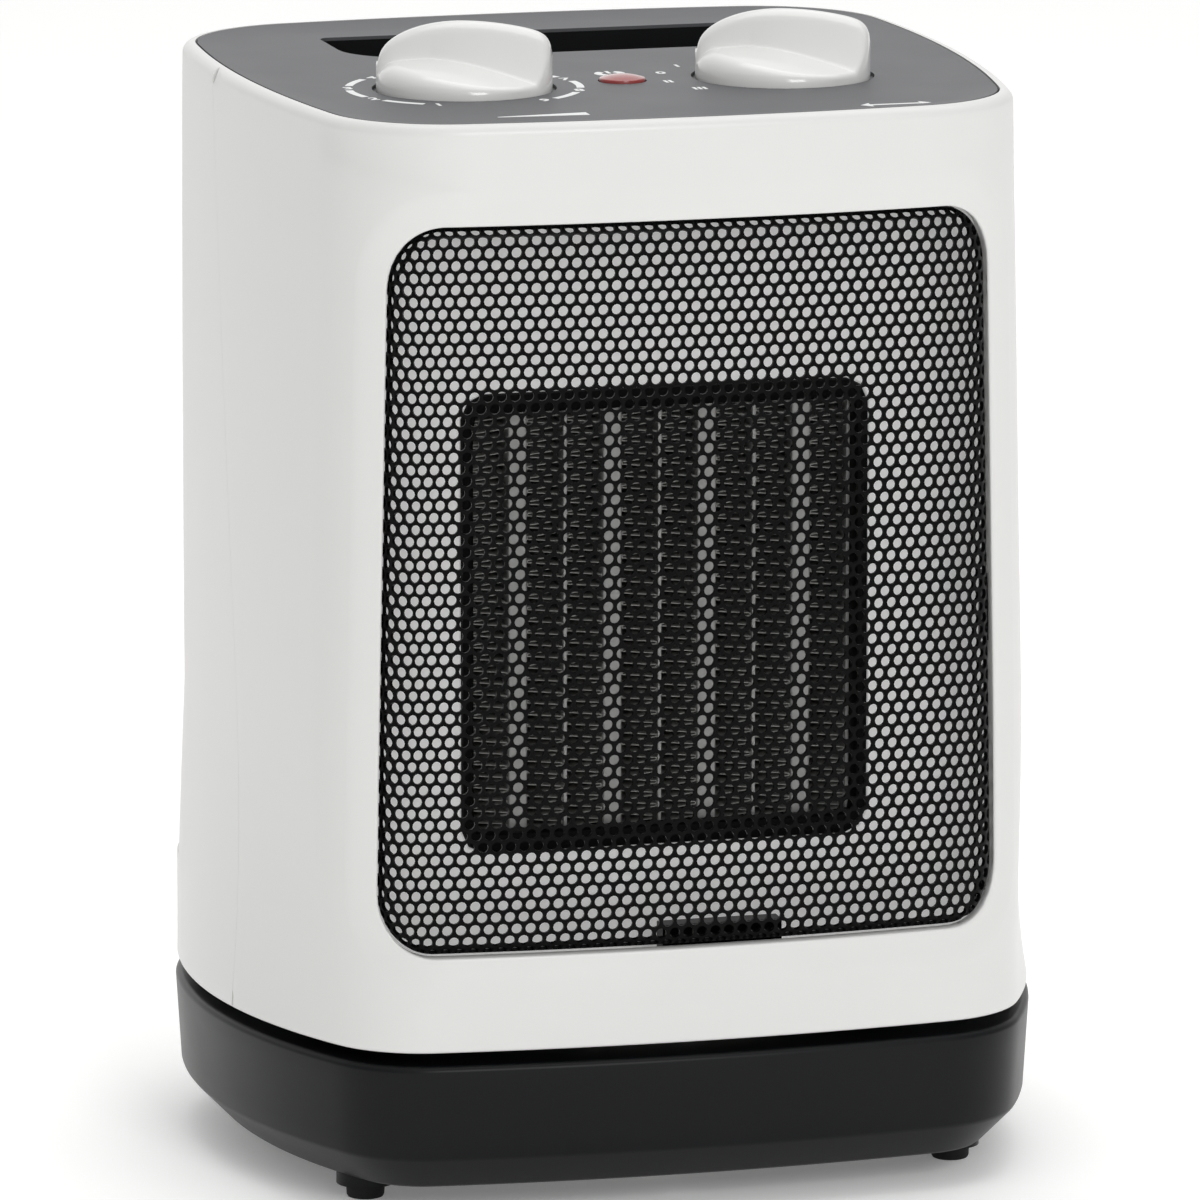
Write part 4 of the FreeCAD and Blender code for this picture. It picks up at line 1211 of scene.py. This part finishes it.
@dataclass
class Print:
    """White printing on the panel: the thermostat's dial and the marks of the switch."""

    panel: TopPanel
    ring_r: float = 25.4
    line_w: float = 1.7
    ink: float = 0.03
    first_deg: float = 243.0
    step_deg: float = 38.0
    numerals: int = 9
    clear_deg: float = 7.5
    digit: float = 4.4
    bold: float = 0.14

    def mark(self, text: str, x: float, y: float, size: float) -> Thing:
        """Prints one character, centred on x, y."""
        start_fresh()
        bpy.ops.object.text_add(location=(x * MM, y * MM, self.panel.z * MM))
        glyph = bpy.context.object
        glyph.data.body = text
        glyph.data.size = size * MM
        glyph.data.align_x = "CENTER"
        glyph.data.align_y = "CENTER"
        glyph.data.extrude = self.ink * MM
        glyph.data.offset = self.bold * MM
        glyph.data.resolution_u = 3
        bpy.ops.object.convert(target="MESH")
        return claim("printed_mark")

    def ring_part(self, x: float, y: float, radius: float, start: float, end: float) -> Thing:
        """Prints part of a ring round x, y, between two angles in degrees."""
        def place(u: float, v: float) -> tuple[float, float, float]:
            turn, r = math.radians(start + (end - start) * u), radius + (v - 0.5) * self.line_w
            return x + r * math.cos(turn), y + r * math.sin(turn), self.panel.z + self.ink
        strip = sheet("printed_arc", 24, 1, place)
        return shape_with(strip, "SOLIDIFY", thickness=2 * self.ink * MM, offset=0.0)

    def dial(self) -> list[Thing]:
        """Prints the numerals of the thermostat and the arcs between them."""
        x, marks = -self.panel.knob_x, []
        for i in range(self.numerals):
            at = self.first_deg - self.step_deg * i
            turn = math.radians(at)
            marks.append(self.mark(str(i + 1), x + self.ring_r * math.cos(turn),
                                   self.panel.knob_y + self.ring_r * math.sin(turn), self.digit))
            if i < self.numerals - 1:
                marks.append(self.ring_part(x, self.panel.knob_y, self.ring_r, at - self.clear_deg,
                                            at - self.step_deg + self.clear_deg))
        return marks

    def positions(self) -> list[Thing]:
        """Prints the four positions of the switch."""
        x, marks = self.panel.knob_x, []
        for text, at in (("I", 134.0), ("0", 158.0), ("II", 186.0), ("III", 212.0)):
            turn = math.radians(at)
            marks.append(self.mark(text, x + (self.ring_r + 1.6) * math.cos(turn),
                                   self.panel.knob_y + (self.ring_r + 1.6) * math.sin(turn), self.digit))
        return marks

    def patch(self, corners: Sequence[tuple[float, float]]) -> Thing:
        """Prints one flat area with these corners, in order."""
        start_fresh()
        bpy.ops.mesh.primitive_circle_add(vertices=len(corners), radius=1.0, fill_type="NGON")
        area = claim("printed_patch")
        for vertex, (x, y) in zip(area.data.vertices, corners):
            vertex.co = Vector((x, y, self.panel.z + self.ink)) * MM
        return shape_with(area, "SOLIDIFY", thickness=2 * self.ink * MM, offset=0.0)

    def symbols(self) -> list[Thing]:
        """Prints a wedge for more or less heat, a two-headed arrow for the swing, and a power mark."""
        low, high, y = -40.0, -20.0, -64.0
        marks = [self.patch([(low, y - 0.3), (high, y - 1.8), (high, y + 1.8), (low, y + 0.3)])]
        middle, half, shaft, head, y = 48.0, 8.0, 0.6, 2.4, -68.0
        marks.append(self.patch([(middle - half + head, y - shaft), (middle + half - head, y - shaft),
                                 (middle + half - head, y + shaft), (middle - half + head, y + shaft)]))
        for side in (-1, 1):
            neck, tip = middle + side * (half - head), middle + side * half
            marks.append(self.patch([(neck, y - head * side), (tip, y), (neck, y + head * side)]))
        y = self.panel.lamp_y + 10.5
        marks.append(self.patch([(-0.4, y), (0.4, y), (0.4, y + 3.4), (-0.4, y + 3.4)]))
        marks.append(self.ring_part(0.0, y, 2.6, 125.0, 415.0))
        return marks

    def build(self) -> None:
        """Prints everything as one piece of ink on the panel."""
        piece = join("dial_printing", self.dial() + self.positions() + self.symbols())
        fit(piece, PRINT_INK, Fitting("head", "white_knob"))


# ------------------------------------------------------------------ base


@dataclass
class Base:
    """Black base and its feet."""

    columns: int = 240
    deck_z: float = 35.4
    chamfer_z: float = 14.1
    low: float = 6.4
    wall: float = 2.4
    feet: tuple[tuple[float, float], ...] = ((-67.0, -50.7), (67.0, -50.7), (-57.0, 48.0), (57.0, 48.0))

    def section(self) -> list[tuple[float, float, float]]:
        """Section from the middle of the deck over the outside and back under: share outwards, z, inset."""
        path = [(0.0, self.deck_z, 0.7), (0.45, self.deck_z, 0.7), (0.9, self.deck_z, 0.7)]
        r = 1.5
        path += [(1.0, self.deck_z - r + r * math.cos(a), 0.7 - 1.05 + r - r * math.sin(a))
                 for a in (i * math.pi / 14 for i in range(8))]
        path += [(1.0, self.deck_z - r - (self.deck_z - r - self.chamfer_z - 0.9) * i / 5, -0.35 + 1.15 * i / 5)
                 for i in range(1, 6)]
        path += [(1.0, self.chamfer_z + 0.35, 0.98), (1.0, self.chamfer_z - 0.3, 1.5)]
        path += [(1.0, self.low + 0.7, 8.1), (1.0, self.low + 0.15, 8.9), (1.0, self.low, 9.4),
                 (1.0, self.low, 11.6)]
        path += [(1.0, self.chamfer_z + 0.6, 3.9), (1.0, self.deck_z - 3.4, 2.8), (0.9, self.deck_z - 2.9, 3.2),
                 (0.0, self.deck_z - 2.9, 3.2)]
        return path

    def shell(self) -> Thing:
        """Makes the base's shell and cuts the pivot, the swing slot and the cord's hole."""
        path = self.section()

        def place(u: float, v: float) -> tuple[float, float, float]:
            share, z, inset = path[round(v * (len(path) - 1))]
            x, y, _ = PLAN.loop(u % 1.0, z, inset)
            return x * share, y * share, z

        shell = sheet("base_shell_moulding", self.columns, len(path) - 1, place)
        cut(shell, drum("pivot_tool", (0, 0, 30), 13.1, 30.0),
            drum("slot_tool", (0, 48.0, 30), 6.0, 30.0),
            drum("inlet_tool", (-42.0, 80.0, 22.0), 6.6, 40.0, "Y"))
        return smooth(shell, 40.0)

    def foot(self, x: float, y: float) -> Thing:
        """Makes one rubber foot: a turned pad with a rounded rim."""
        section = [(0.0, 0.0), (3.5, 0.0), (3.9, 0.15), (4.15, 0.6), (4.4, 4.2), (2.0, 4.3), (2.0, 11.0),
                   (0.0, 11.0)]

        def place(u: float, v: float) -> tuple[float, float, float]:
            r, z = section[round(v * (len(section) - 1))]
            return x + r * math.cos(2 * math.pi * u), y + r * math.sin(2 * math.pi * u), z
        return smooth(sheet("rubber_foot", 40, len(section) - 1, place), 40.0)

    def build(self) -> None:
        """Makes the base and its feet and puts them on the base body."""
        fit(self.shell(), BLACK_ABS, Fitting("base", "black_base", ("base_shell",)))
        feet = join("rubber_foot_set", [self.foot(x, y) for x, y in self.feet])
        fit(feet, RUBBER, Fitting("base", "rubber", ("rubber_feet",)))


# ------------------------------------------------------------------ pieces kept from the frame


KEPT = {
    BLACK_ABS: ("base_plate", "head_floor", "swing_slot_liner"),
    BLACK_ENAMEL: ("grille_retainers",),
    PHENOLIC: ("fan_shroud", "fan_wheel", "terminal_block", "tip_switch", "mode_switch", "thermal_cutout"),
    ZINC_STEEL: ("floor_screws", "retainer_screws", "base_screws", "mount_screws", "fan_shaft", "motor_mount",
                 "thermostat", "thermostat_shaft", "mode_shaft", "tip_spring", "swing_crank", "spindle_retainer"),
    LAMINATIONS: ("motor_stator", "motor_rotor"),
    DIE_CAST: ("bearing_brackets", "swing_motor"),
    COPPER_WIRE: ("motor_coil",),
    BRASS: ("heater_terminals",),
    ACETAL: ("pivot_bush", "glide_ring", "crank_roller", "tip_plunger"),
    NYLON_MESH: ("dust_filter",),
    RUBBER: ("cord_inlet",),
    LAMP_GLASS: ("pilot_lamp", "thermal_fuse"),
}


def dress_kept_nodes() -> None:
    """Gives every node that stays its finish."""
    for finish, names in KEPT.items():
        for name in names:
            dress(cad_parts[name], finish)
            LOG.info("%s keeps its shape, in %s", name, finish.name)


# ------------------------------------------------------------------ studio


@dataclass
class Studio:
    """Pale floor, soft lights and the camera. Its places are in metres."""

    eye: tuple[float, float, float] = (-0.62747, -2.30973, 0.59308)
    aim: tuple[float, float, float] = (-0.00091, -0.0037, 0.12079)
    lens: float = 327.9
    sensor: float = 36.0

    def camera(self) -> None:
        """Adds the camera, aimed at the middle of the heater."""
        data = bpy.data.cameras.new("view")
        data.lens, data.sensor_width = self.lens, self.sensor
        data.clip_start, data.clip_end = 0.1, 50.0
        camera = bpy.data.objects.new("view", data)
        bpy.context.scene.collection.objects.link(camera)
        camera.location = self.eye
        camera.rotation_euler = (Vector(self.aim) - Vector(self.eye)).to_track_quat("-Z", "Y").to_euler()
        bpy.context.scene.camera = camera

    def floor(self) -> None:
        """Adds the pale floor."""
        start_fresh()
        bpy.ops.mesh.primitive_plane_add(size=30.0, location=(0, 0, 0))
        floor = bpy.context.object
        floor.name = "studio_floor"
        paint = bpy.data.materials.new("matt_white_board")
        paint.use_nodes = True
        shader = paint.node_tree.nodes["Principled BSDF"]
        shader.inputs["Base Color"].default_value = linear("#FBFBFA")
        shader.inputs["Roughness"].default_value = 0.9
        shader.inputs["Emission Color"].default_value = linear("#FFFFFF")
        shader.inputs["Emission Strength"].default_value = 0.16
        floor.data.materials.append(paint)

    def light(self, name: str, where: Sequence[float], size: float, power: float) -> None:
        """Adds a square soft light, aimed at the heater."""
        data = bpy.data.lights.new(name, "AREA")
        data.shape, data.size, data.energy = "SQUARE", size, power
        lamp = bpy.data.objects.new(name, data)
        bpy.context.scene.collection.objects.link(lamp)
        lamp.location = where
        lamp.rotation_euler = (Vector((0, 0, 0.12)) - Vector(where)).to_track_quat("-Z", "Y").to_euler()

    def surround(self) -> None:
        """Lights the whole room softly, a little less from the front and from both sides."""
        world = bpy.data.worlds.new("white_room")
        bpy.context.scene.world = world
        world.use_nodes = True
        tree = world.node_tree
        tree.nodes.clear()
        where = add_node(tree, "ShaderNodeTexCoord").outputs["Generated"]
        parts = add_node(tree, "ShaderNodeSeparateXYZ", {"Vector": where})
        level = add_node(tree, "ShaderNodeMapRange", {"Value": parts.outputs["Y"]}, in_1=-1.0, in_2=0.5,
                         in_3=0.72, in_4=1.12)
        aside = add_node(tree, "ShaderNodeMath", {0: parts.outputs["X"]}, operation="ABSOLUTE")
        dimmed = add_node(tree, "ShaderNodeMapRange", {"Value": aside.outputs["Value"]}, in_1=0.2, in_2=0.9,
                          in_3=1.0, in_4=0.42)
        both = add_node(tree, "ShaderNodeMath", {0: level.outputs["Result"], 1: dimmed.outputs["Result"]},
                        operation="MULTIPLY")
        glow = add_node(tree, "ShaderNodeBackground", {"Strength": both.outputs["Value"]},
                        in_Color=(1.0, 1.0, 1.0, 1.0))
        add_node(tree, "ShaderNodeOutputWorld", {"Surface": glow.outputs["Background"]})

    def build(self) -> None:
        """Sets up the whole studio."""
        self.floor()
        self.camera()
        self.surround()
        self.light("top_softbox", (0.3, 0.2, 1.6), 1.4, 7.0)
        self.light("front_softbox", (0.2, -2.1, 1.1), 0.8, 12.5)
        bpy.context.scene.view_settings.view_transform = "Standard"


def main() -> None:
    """Builds the heater's pieces in order, dresses the rest and sets up the studio."""
    logging.basicConfig(level=logging.INFO, format="%(name)s: %(message)s")
    casing, panel = Casing(), TopPanel()
    casing.build()
    Grille(casing).build()
    Element().build()
    panel.build()
    Knob(panel).build()
    Print(panel).build()
    Base().build()
    dress_kept_nodes()
    Studio().build()


if __name__ == "__main__":
    main()
